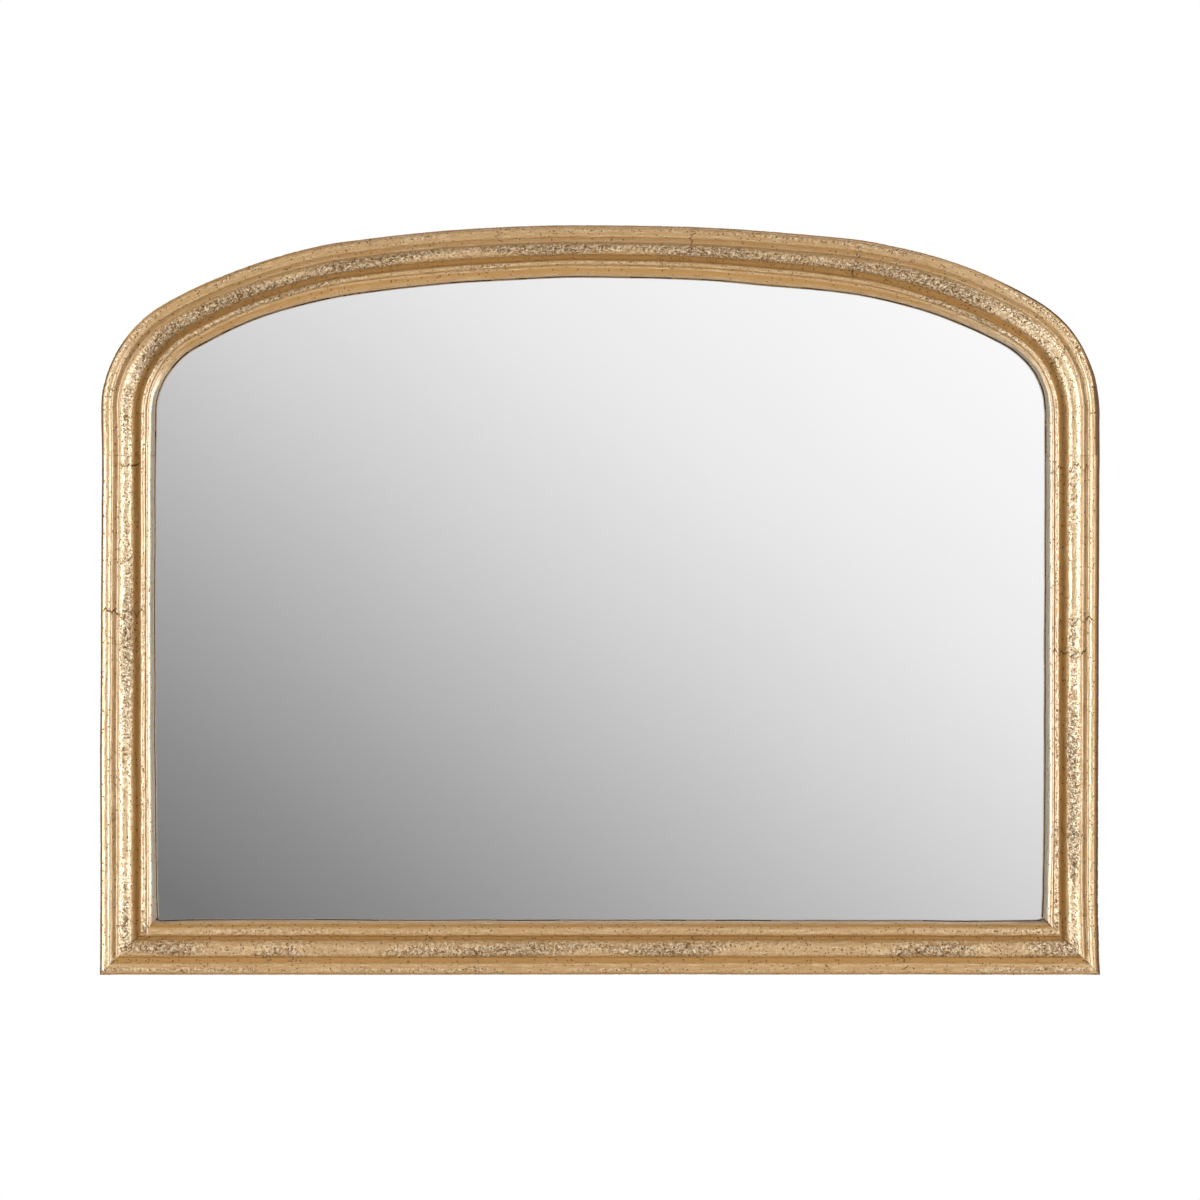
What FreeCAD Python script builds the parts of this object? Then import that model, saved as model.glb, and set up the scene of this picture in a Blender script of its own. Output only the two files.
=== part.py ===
"""Arched overmantel wall mirror in a moulded, gilded wood frame.

Millimetres. X runs to the right seen from the front, Y runs to the back and Z runs up.
The origin is the middle of the bottom edge, halfway between the front of the moulding and the wall.
Across a frame member, inset is measured from the outer edge towards the glass,
and height is measured from the back plane of the frame towards the room.
"""
import FreeCAD, Part
import math
import os

# Overall form
overall_width = 800.0
overall_height = 600.0
crown_radius = 1620.0
haunch_radius = 410.0
shoulder_radius = 105.0
haunch_end_angle = 29.2
crown_joint_angle = 9.7
shoulder_foot_length = 32.0

# Glass, backing and what lies between them
glass_thickness = 4.0
coating_thickness = 0.2
board_thickness = 5.0
board_recess = 0.3
tape_thickness = 1.0
tape_setback = 1.2
tape_width = 5.0
rebate_width = 9.0
edge_gap = 1.5

# Moulding, from the outer edge to the sight edge
side_ledge_width = 1.3
side_corner_chamfer = 0.7
side_ledge_drop = 2.6
outer_bead_width = 8.2
outer_bead_rise = 2.6
outer_bead_flat_count = 5
hollow_width = 3.0
hollow_depth = 0.9
hollow_flat_count = 2
torus_width = 12.8
torus_rise = 5.6
torus_flat_count = 6
cove_width = 6.2
cove_depth = 3.4
cove_flat_count = 4
outer_reed_width = 3.4
outer_reed_rise = 2.0
inner_reed_width = 2.4
inner_reed_rise = 1.2
reed_flat_count = 2
lip_run = 3.7
lip_rise = 9.4
lip_bulge = 0.8
lip_flat_count = 2
sight_edge_height = 1.8

# Joinery
tenon_length = 36.0
tenon_width = 20.0
tenon_thickness = 8.0
tenon_inset = 16.0
tenon_height = 10.0
tenon_clearance = 0.1
v_nail_leg = 6.0
v_nail_thickness = 0.7
v_nail_depth = 10.0
v_nail_insets = (9.0, 21.0)

# Blocks that centre the glass and the board in the rebate
block_length = 30.0
bottom_block_shares = (-0.5, 0.5)
side_block_shares = (0.25, 0.8)

# Turn buttons and their screws
button_thickness = 1.2
button_seat_gap = 0.1
button_reach = 17.0
button_root_radius = 5.5
button_tip_radius = 3.6
button_root_flat_count = 7
button_tip_flat_count = 4
button_tip_lift = 1.6
button_tip_bend_length = 4.5
button_pivot_inset = 7.0
button_bottom_shares = (-0.55, 0.0, 0.55)
button_stile_shares = (0.25, 0.8)
button_haunch_share = 0.5
button_screw_radius = 1.5
button_screw_length = 14.0
button_hole_clearance = 0.1
screw_head_radius_share = 2.1
screw_head_height_share = 1.3
screw_tip_share = 1.4
screw_side_count = 12
pilot_clearance = 0.05
pilot_extra_depth = 1.0
head_clearance = 0.05

# Strap hangers with D rings
ring_wire_radius = 1.3
ring_wire_side_count = 8
ring_bow_flat_count = 12
ring_corner_flat_count = 4
ring_bow_radius = 9.6
ring_leg_length = 4.0
ring_corner_radius = 3.0
ring_clearance = 0.1
strap_thickness = 1.6
strap_loop_wall = 0.8
strap_width = 12.6
strap_length = 36.0
strap_ramp_length = 5.0
strap_tail_flat_count = 6
strap_hole_shares = (0.4, 0.8)
strap_inset = 15.5
strap_drop = 24.0
hanger_screw_radius = 1.8
hanger_screw_length = 16.0
hanger_hole_clearance = 0.3

# Wall bumpers
bumper_radius = 6.5
bumper_height = 5.0
bumper_inset = 16.0
bumper_side_share = 0.82

# One overrun for every cutting tool
overrun = 2.0

# Worked out from the sizes above
face_width = (side_ledge_width + outer_bead_width + hollow_width + torus_width
              + cove_width + outer_reed_width + inner_reed_width + lip_run)
rebate_depth = (tape_thickness + glass_thickness + coating_thickness
                + board_thickness + board_recess)
moulding_datum = rebate_depth + sight_edge_height + lip_rise
frame_depth = moulding_datum + torus_rise
rebate_inset = face_width - rebate_width
glass_inset = rebate_inset + edge_gap
overall_depth = frame_depth + bumper_height
back_plane = overall_depth / 2 - bumper_height
half_width = overall_width / 2
button_pivot_depth = rebate_inset - button_pivot_inset
button_seat = back_plane + button_seat_gap
button_screw_seat = button_seat + button_thickness + head_clearance
loop_radius = ring_wire_radius + ring_clearance + strap_loop_wall
ring_axis_y = back_plane + loop_radius
strap_screw_seat = back_plane + strap_thickness

# The arch is struck from five centres: one crown, two haunches and two shoulders.
haunch_end = math.radians(haunch_end_angle)
crown_end_sine = ((half_width - shoulder_radius
                   - (haunch_radius - shoulder_radius) * math.sin(haunch_end))
                  / (crown_radius - haunch_radius))
crown_end = math.asin(crown_end_sine)
crown_end_angle = math.degrees(crown_end)
crown_centre_z = overall_height - crown_radius
haunch_centre_x = (crown_radius - haunch_radius) * math.sin(crown_end)
haunch_centre_z = crown_centre_z + (crown_radius - haunch_radius) * math.cos(crown_end)
shoulder_centre_x = haunch_centre_x + (haunch_radius - shoulder_radius) * math.sin(haunch_end)
shoulder_centre_z = haunch_centre_z + (haunch_radius - shoulder_radius) * math.cos(haunch_end)
stile_top = shoulder_centre_z - shoulder_foot_length
strap_pivot_z = stile_top - strap_drop

X_AXIS = FreeCAD.Vector(1, 0, 0)
Y_AXIS = FreeCAD.Vector(0, 1, 0)
RIGHT_ANGLE = 90.0
HALF_TURN = 180.0
FULL_TURN = 360.0
LEFT = -1
RIGHT = 1


def vector(x, y, z):
    return FreeCAD.Vector(x, y, z)


def section_point(inset, height):
    """A point of the cross-section, standing over the origin with the outer edge at the top."""
    return vector(0, back_plane - height, -inset)


def arc_corners(start, middle, end, flats):
    """Corners of the flats that follow a circular arc from start over middle to end."""
    return Part.Arc(start, middle, end).toShape().discretize(flats + 1)


def flats_between(start, crest, end, flats):
    """The same between points of the cross-section, up to but without end."""
    return arc_corners(section_point(*start), section_point(*crest), section_point(*end), flats)[:-1]


def swell(start, rise, end, flats):
    """A bead, or with a negative rise a hollow, whose middle stands off the moulding's datum."""
    crest = ((start[0] + end[0]) / 2, moulding_datum + rise)
    return flats_between(start, crest, end, flats)


def frame_section():
    """Face of the moulding: side, outer bead, hollow, torus, cove, two reeds, lip and rebate."""
    ledge_height = moulding_datum - side_ledge_drop
    inset = side_ledge_width
    bead_start = (inset, ledge_height)
    widths = (outer_bead_width, hollow_width, torus_width, cove_width,
              outer_reed_width, inner_reed_width)
    stops = []
    for width in widths:
        inset += width
        stops.append((inset, moulding_datum))
    bead_end, hollow_end, torus_end, cove_end, outer_reed_end, lip_start = stops
    lip_end = (face_width, rebate_depth + sight_edge_height)
    lip_middle = ((lip_start[0] + lip_end[0]) / 2 + lip_bulge, (lip_start[1] + lip_end[1]) / 2)
    corners = [section_point(0, 0),
               section_point(0, ledge_height - side_corner_chamfer),
               section_point(side_corner_chamfer, ledge_height)]
    corners += swell(bead_start, outer_bead_rise, bead_end, outer_bead_flat_count)
    corners += swell(bead_end, -hollow_depth, hollow_end, hollow_flat_count)
    corners += swell(hollow_end, torus_rise, torus_end, torus_flat_count)
    corners += swell(torus_end, -cove_depth, cove_end, cove_flat_count)
    corners += swell(cove_end, outer_reed_rise, outer_reed_end, reed_flat_count)
    corners += swell(outer_reed_end, inner_reed_rise, lip_start, reed_flat_count)
    corners += flats_between(lip_start, lip_middle, lip_end, lip_flat_count)
    corners += [section_point(*lip_end), section_point(face_width, rebate_depth),
                section_point(rebate_inset, rebate_depth), section_point(rebate_inset, 0)]
    return face_over(corners)


def turned(shape, x, z, angle):
    """A copy moved from the origin to (x, z) and turned clockwise seen from the front."""
    copy = shape.copy()
    copy.rotate(vector(0, 0, 0), Y_AXIS, angle)
    copy.translate(vector(x, 0, z))
    return copy


def arc_member(section, centre_x, centre_z, radius, start_angle, end_angle):
    """The moulding swept round a centre, with angles clockwise from straight up."""
    outer_edge = section.copy()
    outer_edge.translate(vector(0, 0, radius))
    face = turned(outer_edge, centre_x, centre_z, start_angle)
    return face.revolve(vector(centre_x, 0, centre_z), Y_AXIS, end_angle - start_angle)


def straight_member(section, x, z, angle, length):
    """The moulding run straight from (x, z), clockwise along the frame."""
    face = turned(section, x, z, angle)
    turn = math.radians(angle)
    return face.extrude(vector(length * math.cos(turn), 0, -length * math.sin(turn)))


def face_over(corners):
    return Part.Face(Part.makePolygon(corners + corners[:1]))


def skinned(loops):
    """A solid with flat faces between loops of corners, whose first loop may be a single point."""
    faces = [face_over(loops[-1])]
    if not loops[0][0].isEqual(loops[0][1], 0):
        faces.append(face_over(loops[0]))
    for lower, upper in zip(loops, loops[1:]):
        for side, corner in enumerate(lower):
            after = (side + 1) % len(lower)
            corners = [lower[after], upper[after], upper[side]]
            if not corner.isEqual(lower[after], 0):
                corners.insert(0, corner)
            faces.append(face_over(corners))
    return Part.Solid(Part.Shell(faces))


def one_solid(shapes):
    joined = shapes[0].fuse(shapes[1:]).removeSplitter()
    return joined.Solids[0]


def polygon_prism(points, y_start, y_end):
    """A prism between two Y planes over a polygon of (x, z) points."""
    return face_over([vector(x, y_start, z) for x, z in points]).extrude(
        vector(0, y_end - y_start, 0))


def place_on_haunch(inset, angle, side):
    """(x, z) at an inset on the haunch, at an angle from straight up."""
    turn = math.radians(angle)
    return (side * (haunch_centre_x + (haunch_radius - inset) * math.sin(turn)),
            haunch_centre_z + (haunch_radius - inset) * math.cos(turn))


# Frame members

def make_bottom_rail(section):
    rail = straight_member(section, half_width, 0, HALF_TURN, overall_width)
    mitre_region = polygon_prism(
        [(-half_width, 0), (half_width, 0),
         (half_width - face_width, face_width), (face_width - half_width, face_width)],
        back_plane - frame_depth - overrun, back_plane + overrun)
    return rail.common(mitre_region).Solids[0]


def make_stile(section, side):
    if side == RIGHT:
        stile = straight_member(section, half_width, stile_top, RIGHT_ANGLE, stile_top)
    else:
        stile = straight_member(section, -half_width, 0, -RIGHT_ANGLE, stile_top)
    outer = side * half_width
    inner = side * (half_width - face_width)
    mitre_region = polygon_prism(
        [(outer, 0), (outer, stile_top), (inner, stile_top), (inner, face_width)],
        back_plane - frame_depth - overrun, back_plane + overrun)
    return stile.common(mitre_region).Solids[0]


def make_shoulder(section, side):
    """One board: the rest of the haunch, the shoulder and a short straight foot."""
    if side == RIGHT:
        haunch_span = (crown_joint_angle, haunch_end_angle)
        shoulder_span = (haunch_end_angle, RIGHT_ANGLE)
        foot = straight_member(section, half_width, shoulder_centre_z, RIGHT_ANGLE,
                               shoulder_foot_length)
    else:
        haunch_span = (-haunch_end_angle, -crown_joint_angle)
        shoulder_span = (-RIGHT_ANGLE, -haunch_end_angle)
        foot = straight_member(section, -half_width, stile_top, -RIGHT_ANGLE, shoulder_foot_length)
    haunch = arc_member(section, side * haunch_centre_x, haunch_centre_z, haunch_radius, *haunch_span)
    shoulder = arc_member(section, side * shoulder_centre_x, shoulder_centre_z,
                          shoulder_radius, *shoulder_span)
    return one_solid([haunch, shoulder, foot])


def make_crown(section):
    crown = arc_member(section, 0, crown_centre_z, crown_radius, -crown_end_angle, crown_end_angle)
    right_end = arc_member(section, haunch_centre_x, haunch_centre_z, haunch_radius,
                           crown_end_angle, crown_joint_angle)
    left_end = arc_member(section, -haunch_centre_x, haunch_centre_z, haunch_radius,
                          -crown_joint_angle, -crown_end_angle)
    return one_solid([crown, right_end, left_end])


# Joinery

def tenon_places():
    """(x, z, turn) of each butt joint in the arch, at the middle of its loose tenon."""
    places = []
    for side in (LEFT, RIGHT):
        x, z = place_on_haunch(tenon_inset, crown_joint_angle, side)
        places.append((x, z, side * crown_joint_angle))
        places.append((side * (half_width - tenon_inset), stile_top, RIGHT_ANGLE))
    return places


def tenon_shapes(clearance):
    length = tenon_length + 2 * clearance
    width = tenon_width + 2 * clearance
    thickness = tenon_thickness + 2 * clearance
    bar = Part.makeBox(length, thickness, width,
                       vector(-length / 2, back_plane - tenon_height - thickness / 2, -width / 2))
    return [turned(bar, x, z, turn) for x, z, turn in tenon_places()]


def make_v_nails():
    """Two V nails across each mitre, driven in from the back, with one leg in each member."""
    nails = []
    for side in (LEFT, RIGHT):
        for inset in v_nail_insets:
            x = side * (half_width - inset)
            reach = side * v_nail_leg
            wall = side * v_nail_thickness
            outline = [(x, inset), (x - reach, inset), (x - reach, inset + v_nail_thickness),
                       (x - wall, inset + v_nail_thickness), (x - wall, inset + v_nail_leg),
                       (x, inset + v_nail_leg)]
            nails.append(polygon_prism(outline, back_plane - v_nail_depth, back_plane))
    return nails


# Glass, tape, board and blocks

def arched_face(inset):
    """Face in the XZ plane whose edge runs a constant inset inside the outer edge of the frame."""
    side = half_width - inset

    def on_arc(centre_x, centre_z, radius, angle):
        turn = math.radians(angle)
        return vector(centre_x + (radius - inset) * math.sin(turn), 0,
                      centre_z + (radius - inset) * math.cos(turn))

    def arc(centre_x, centre_z, radius, start, end):
        return Part.Arc(on_arc(centre_x, centre_z, radius, start),
                        on_arc(centre_x, centre_z, radius, (start + end) / 2),
                        on_arc(centre_x, centre_z, radius, end)).toShape()

    foot_left = vector(-side, 0, inset)
    foot_right = vector(side, 0, inset)
    edges = [
        Part.makeLine(foot_left, vector(-side, 0, shoulder_centre_z)),
        arc(-shoulder_centre_x, shoulder_centre_z, shoulder_radius, -RIGHT_ANGLE, -haunch_end_angle),
        arc(-haunch_centre_x, haunch_centre_z, haunch_radius, -haunch_end_angle, -crown_end_angle),
        arc(0, crown_centre_z, crown_radius, -crown_end_angle, crown_end_angle),
        arc(haunch_centre_x, haunch_centre_z, haunch_radius, crown_end_angle, haunch_end_angle),
        arc(shoulder_centre_x, shoulder_centre_z, shoulder_radius, haunch_end_angle, RIGHT_ANGLE),
        Part.makeLine(vector(side, 0, shoulder_centre_z), foot_right),
        Part.makeLine(foot_right, foot_left),
    ]
    return Part.Face(Part.Wire(edges))


def arched_sheet(inset, front_height, thickness):
    """A sheet with the outline of the frame, whose front face lies at front_height."""
    face = arched_face(inset)
    face.translate(vector(0, back_plane - front_height, 0))
    return face.extrude(vector(0, thickness, 0))


def make_glazing_tape():
    """Black foam tape on the rebate ledge, as a bottom strip, two side strips and an arched strip."""
    inner_inset = face_width - tape_setback
    outer_inset = inner_inset - tape_width
    ring = arched_sheet(outer_inset, rebate_depth, tape_thickness).cut(
        arched_sheet(inner_inset, rebate_depth, tape_thickness))
    front = back_plane - rebate_depth - overrun
    back = back_plane
    bottom = polygon_prism(
        [(inner_inset - half_width, 0), (half_width - inner_inset, 0),
         (half_width - inner_inset, inner_inset), (inner_inset - half_width, inner_inset)],
        front, back)
    strips = [ring.common(bottom)]
    for side in (LEFT, RIGHT):
        outer = side * half_width
        inner = side * (half_width - inner_inset)
        column = polygon_prism([(outer, 0), (inner, 0), (inner, shoulder_centre_z),
                                (outer, shoulder_centre_z)], front, back)
        strips.append(ring.common(column))
    above = polygon_prism(
        [(-half_width, shoulder_centre_z), (half_width, shoulder_centre_z),
         (half_width, overall_height), (-half_width, overall_height)], front, back)
    strips.append(ring.common(above))
    return [solid for strip in strips for solid in strip.Solids]


def block(x_low, x_high, z_low, z_high):
    """A packing block that fills the rebate from the face of the glass to the back of the board."""
    front = back_plane - rebate_depth + tape_thickness
    corner = vector(x_low, front, z_low)
    depth = glass_thickness + coating_thickness + board_thickness
    return Part.makeBox(x_high - x_low, depth, z_high - z_low, corner)


def make_setting_blocks():
    blocks = []
    for share in bottom_block_shares:
        x = share * (half_width - rebate_inset)
        blocks.append(block(x - block_length / 2, x + block_length / 2, rebate_inset, glass_inset))
    return blocks


def make_side_spacers():
    blocks = []
    for side in (LEFT, RIGHT):
        edges = sorted((side * (half_width - rebate_inset), side * (half_width - glass_inset)))
        for share in side_block_shares:
            z = rebate_inset + share * (stile_top - rebate_inset)
            blocks.append(block(*edges, z - block_length / 2, z + block_length / 2))
    return blocks


# Screws

def wood_screw(radius, length, seat):
    """A pan-head wood screw along -Y: its head sits on the plane y = seat and its tip is buried."""
    head_radius = radius * screw_head_radius_share
    head_height = radius * screw_head_height_share
    tip_length = radius * screw_tip_share
    rings = [(-length, 0), (tip_length - length, radius), (0, radius), (0, head_radius),
             (head_height / 2, head_radius), (head_height, head_radius / 2)]
    step = 2 * math.pi / screw_side_count
    return skinned([[vector(ring_radius * math.cos(side * step), seat + y,
                            ring_radius * math.sin(side * step)) for side in range(screw_side_count)]
                    for y, ring_radius in rings])


def pilot_hole(radius, length, seat, x, z):
    """The drilled hole for a screw, from its seat to just past its tip."""
    depth = length + pilot_extra_depth
    return Part.makeCylinder(radius + pilot_clearance, depth, vector(x, seat, z), -Y_AXIS)


# Turn buttons

def button_places():
    """Node name of each turn button, with the (x, z) of its screw and its turn from straight up."""
    bottom = button_pivot_depth
    side_x = half_width - button_pivot_depth
    run = strap_pivot_z - strap_length - rebate_inset
    haunch_angle = (crown_joint_angle
                    + button_haunch_share * (haunch_end_angle - crown_joint_angle))
    places = {}
    for name, share in zip(("bottom_left", "bottom_centre", "bottom_right"), button_bottom_shares):
        places[name] = (share * half_width, bottom, 0)
    for label, share in zip(("lower", "upper"), button_stile_shares):
        z = rebate_inset + share * run
        places["left_" + label] = (-side_x, z, RIGHT_ANGLE)
        places["right_" + label] = (side_x, z, -RIGHT_ANGLE)
    for label, side in (("left", LEFT), ("right", RIGHT)):
        x, z = place_on_haunch(button_pivot_depth, haunch_angle, side)
        places["arch_" + label] = (x, z, HALF_TURN + side * haunch_angle)
    places["crown"] = (0, overall_height - button_pivot_depth, HALF_TURN)
    return places


def make_turn_button():
    """A pressed steel button pointing up: a tapering tongue with a hole and a lifted tip."""
    length = button_reach - button_tip_radius
    taper = math.asin((button_root_radius - button_tip_radius) / length)
    root_x = button_root_radius * math.cos(taper)
    root_z = button_root_radius * math.sin(taper)
    tip_x = button_tip_radius * math.cos(taper)
    tip_z = length + button_tip_radius * math.sin(taper)
    root = arc_corners(vector(root_x, 0, root_z), vector(0, 0, -button_root_radius),
                       vector(-root_x, 0, root_z), button_root_flat_count)
    tip = arc_corners(vector(-tip_x, 0, tip_z), vector(0, 0, button_reach),
                      vector(tip_x, 0, tip_z), button_tip_flat_count)
    stack = button_tip_lift + button_thickness
    tongue = face_over(root + tip).extrude(vector(0, stack, 0))
    bend_z = button_reach - button_tip_bend_length
    low = -button_root_radius - overrun
    side_view = [
        (0, low), (0, bend_z), (button_tip_lift, button_reach),
        (stack, button_reach), (button_thickness, bend_z), (button_thickness, low)]
    corners = [vector(-button_root_radius - overrun, y, z) for y, z in side_view]
    bent = face_over(corners).extrude(vector(2 * (button_root_radius + overrun), 0, 0))
    hole = Part.makeCylinder(button_screw_radius + button_hole_clearance,
                             stack + 2 * overrun, vector(0, -overrun, 0), Y_AXIS)
    button = tongue.common(bent).cut(hole).Solids[0]
    button.translate(vector(0, button_seat, 0))
    return button


# Strap hangers

def strap_x(side):
    return side * (half_width - strap_inset)


def strap_hole_drops():
    return [share * strap_length for share in strap_hole_shares]


def make_strap(side):
    """A steel strip folded round the ring's bar, with a round lower end and two screw holes."""
    x_low = strap_x(side) - strap_width / 2
    pivot = vector(x_low, ring_axis_y, strap_pivot_z)
    loop = Part.makeCylinder(loop_radius, strap_width, pivot, X_AXIS)
    end_z = strap_pivot_z - strap_length
    tail = arc_corners(vector(x_low, back_plane, end_z + strap_width / 2),
                       vector(strap_x(side), back_plane, end_z),
                       vector(x_low + strap_width, back_plane, end_z + strap_width / 2),
                       strap_tail_flat_count)
    head = [vector(x_low + strap_width, back_plane, strap_pivot_z),
            vector(x_low, back_plane, strap_pivot_z)]
    plate = face_over(tail + head).extrude(vector(0, strap_thickness, 0))
    ramp_corners = [
        vector(x_low, back_plane, strap_pivot_z),
        vector(x_low, ring_axis_y + loop_radius, strap_pivot_z),
        vector(x_low, back_plane + strap_thickness, strap_pivot_z - strap_ramp_length),
        vector(x_low, back_plane, strap_pivot_z - strap_ramp_length)]
    ramp = face_over(ramp_corners).extrude(vector(strap_width, 0, 0))
    strap = one_solid([loop, plate, ramp])
    bore = Part.makeCylinder(ring_wire_radius + ring_clearance, strap_width + 2 * overrun,
                             pivot - X_AXIS * overrun, X_AXIS)
    strap = strap.cut(bore)
    for drop in strap_hole_drops():
        strap = strap.cut(Part.makeCylinder(
            hanger_screw_radius + hanger_hole_clearance, strap_thickness + 2 * overrun,
            vector(strap_x(side), back_plane - overrun, strap_pivot_z - drop), Y_AXIS))
    return strap.Solids[0]


def wire_section(x, z, turn):
    """Corners of the ring's many-sided wire cut square at (x, z), with its run turned from X."""
    step = 2 * math.pi / ring_wire_side_count
    corners = []
    for side in range(ring_wire_side_count):
        lie = (side + 1 / 2) * step
        rise = ring_wire_radius * math.sin(lie)
        corners.append(vector(x + rise * math.sin(turn), ring_wire_radius * math.cos(lie),
                              z + rise * math.cos(turn)))
    return corners


def make_ring(side):
    """A D ring of wire: a round bar through the strap, two bends, two legs and a bow."""
    corner_x = ring_bow_radius - ring_corner_radius
    leg_top = ring_corner_radius + ring_leg_length
    bends = [(corner_x, ring_corner_radius, HALF_TURN, RIGHT_ANGLE, ring_corner_flat_count),
             (0, ring_bow_radius, RIGHT_ANGLE, -RIGHT_ANGLE, ring_bow_flat_count),
             (-corner_x, ring_corner_radius, -RIGHT_ANGLE, -HALF_TURN, ring_corner_flat_count)]
    sections = []
    for centre_x, radius, start, end, flats in bends:
        centre_z = leg_top if radius == ring_bow_radius else ring_corner_radius
        for flat in range(flats + 1):
            turn = math.radians(start + (end - start) * flat / flats)
            sections.append(wire_section(centre_x + radius * math.sin(turn),
                                         centre_z + radius * math.cos(turn), turn))
    bar = Part.makeCylinder(ring_wire_radius, 2 * corner_x, vector(-corner_x, 0, 0), X_AXIS)
    ring = one_solid([bar, skinned(sections)])
    ring.translate(vector(strap_x(side), ring_axis_y, strap_pivot_z))
    return ring


# Wall bumpers

def bumper_x(side):
    return side * bumper_side_share * half_width


def make_bumper(side):
    """A round rubber foot with a flat face for the wall."""
    return Part.makeCylinder(bumper_radius, bumper_height,
                             vector(bumper_x(side), back_plane, bumper_inset), Y_AXIS)


def screw_places():
    """(x, z) of every screw of the turn buttons, and of every screw of the straps."""
    buttons = [(x, z) for x, z, _ in button_places().values()]
    straps = [(strap_x(side), strap_pivot_z - drop)
              for side in (LEFT, RIGHT) for drop in strap_hole_drops()]
    return buttons, straps


def make_screws(places, radius, length, seat):
    screw = wood_screw(radius, length, seat)
    return [turned(screw, x, z, 0) for x, z in places]


def joinery_cuts():
    """What is cut or drilled into the frame members: slots, nail kerfs and pilot holes."""
    button_screws, strap_screws = screw_places()
    cuts = tenon_shapes(tenon_clearance) + make_v_nails()
    cuts += [pilot_hole(button_screw_radius, button_screw_length, button_screw_seat, x, z)
             for x, z in button_screws]
    cuts += [pilot_hole(hanger_screw_radius, hanger_screw_length, strap_screw_seat, x, z)
             for x, z in strap_screws]
    return cuts


def worked(member, cuts):
    """A frame member after the cuts that reach it."""
    near = [cut for cut in cuts if member.BoundBox.intersect(cut.BoundBox)]
    return member.cut(near).Solids[0]


def make_parts():
    section = frame_section()
    cuts = joinery_cuts()
    coating_front = rebate_depth - tape_thickness - glass_thickness
    board_front = coating_front - coating_thickness
    button_screws, strap_screws = screw_places()
    button = make_turn_button()
    parts = {
        "bottom_rail": [worked(make_bottom_rail(section), cuts)],
        "left_stile": [worked(make_stile(section, LEFT), cuts)],
        "right_stile": [worked(make_stile(section, RIGHT), cuts)],
        "left_shoulder": [worked(make_shoulder(section, LEFT), cuts)],
        "right_shoulder": [worked(make_shoulder(section, RIGHT), cuts)],
        "crown_rail": [worked(make_crown(section), cuts)],
        "loose_tenons": tenon_shapes(0),
        "mitre_v_nails": make_v_nails(),
        "glazing_tape": make_glazing_tape(),
        "mirror_glass": [arched_sheet(glass_inset, rebate_depth - tape_thickness, glass_thickness)],
        "silvered_coating": [arched_sheet(glass_inset, coating_front, coating_thickness)],
        "backing_board": [arched_sheet(glass_inset, board_front, board_thickness)],
        "setting_blocks": make_setting_blocks(),
        "side_spacers": make_side_spacers(),
        "turn_button_screws": make_screws(button_screws, button_screw_radius,
                                          button_screw_length, button_screw_seat),
        "hanger_screws": make_screws(strap_screws, hanger_screw_radius,
                                     hanger_screw_length, strap_screw_seat),
    }
    for label, side in (("left", LEFT), ("right", RIGHT)):
        parts[label + "_hanger_strap"] = [make_strap(side)]
        parts[label + "_hanger_ring"] = [make_ring(side)]
        parts[label + "_wall_bumper"] = [make_bumper(side)]
    for name, (x, z, turn) in button_places().items():
        parts["turn_button_" + name] = [turned(button, x, z, turn)]
    return parts


def main():
    os.makedirs("parts", exist_ok=True)
    for name, solids in make_parts().items():
        shape = solids[0] if len(solids) == 1 else Part.makeCompound(solids)
        if not shape.isValid():
            print(name, "is not valid")
        shape.exportStep(os.path.join("parts", name + ".step"))
    print("face width", round(face_width, 2), "depth", round(frame_depth, 2),
          "back plane", round(back_plane, 3), "crown end", round(crown_end_angle, 2),
          "springing", round(shoulder_centre_z, 2), "stile top", round(stile_top, 2))


main()
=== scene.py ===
"""Arched overmantel wall mirror in a hand-gilded moulding, with its backing and hangers.

Metres. X runs to the right seen from the front, Y runs to the wall and Z runs up.
Across a frame member, inset is measured from the outer edge towards the glass,
and height is measured from the back of the frame towards the room.
"""
import math
from collections import namedtuple
from types import SimpleNamespace

import bmesh
import bpy
from bpy.props import FloatProperty, FloatVectorProperty, IntProperty, PointerProperty
from mathutils import Matrix, Vector, noise


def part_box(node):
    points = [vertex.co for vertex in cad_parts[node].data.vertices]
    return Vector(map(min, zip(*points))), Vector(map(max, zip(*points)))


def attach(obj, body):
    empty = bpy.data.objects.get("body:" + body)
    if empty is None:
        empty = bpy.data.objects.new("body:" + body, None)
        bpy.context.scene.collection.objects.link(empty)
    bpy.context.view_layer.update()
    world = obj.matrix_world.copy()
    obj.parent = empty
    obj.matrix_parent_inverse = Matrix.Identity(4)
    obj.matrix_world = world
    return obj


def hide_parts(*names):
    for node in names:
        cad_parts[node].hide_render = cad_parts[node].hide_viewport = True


bl_info = {
    "name": "Arched wall mirror",
    "version": (1, 0, 0),
    "blender": (4, 5, 0),
    "location": "3D View > Sidebar > Mirror",
    "description": "Gilded arched mirror with its glass, backing, hangers and studio",
    "category": "Object",
}

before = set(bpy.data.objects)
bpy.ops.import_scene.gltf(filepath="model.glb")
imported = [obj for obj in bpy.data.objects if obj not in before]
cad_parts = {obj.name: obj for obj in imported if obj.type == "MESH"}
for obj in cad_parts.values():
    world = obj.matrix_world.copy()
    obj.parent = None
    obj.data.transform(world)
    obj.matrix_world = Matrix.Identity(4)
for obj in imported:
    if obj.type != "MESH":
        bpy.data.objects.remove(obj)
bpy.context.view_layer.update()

RIGHT_ANGLE = math.pi / 2
CORNER_ANGLE = math.radians(60)
WHITE = (1, 1, 1, 1)
Arc = namedtuple("Arc", "x z radius start end")
Straight = namedtuple("Straight", "x z heading length")
Hand = namedtuple("Hand", "outer cove reeds sight crumbly dark")

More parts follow.
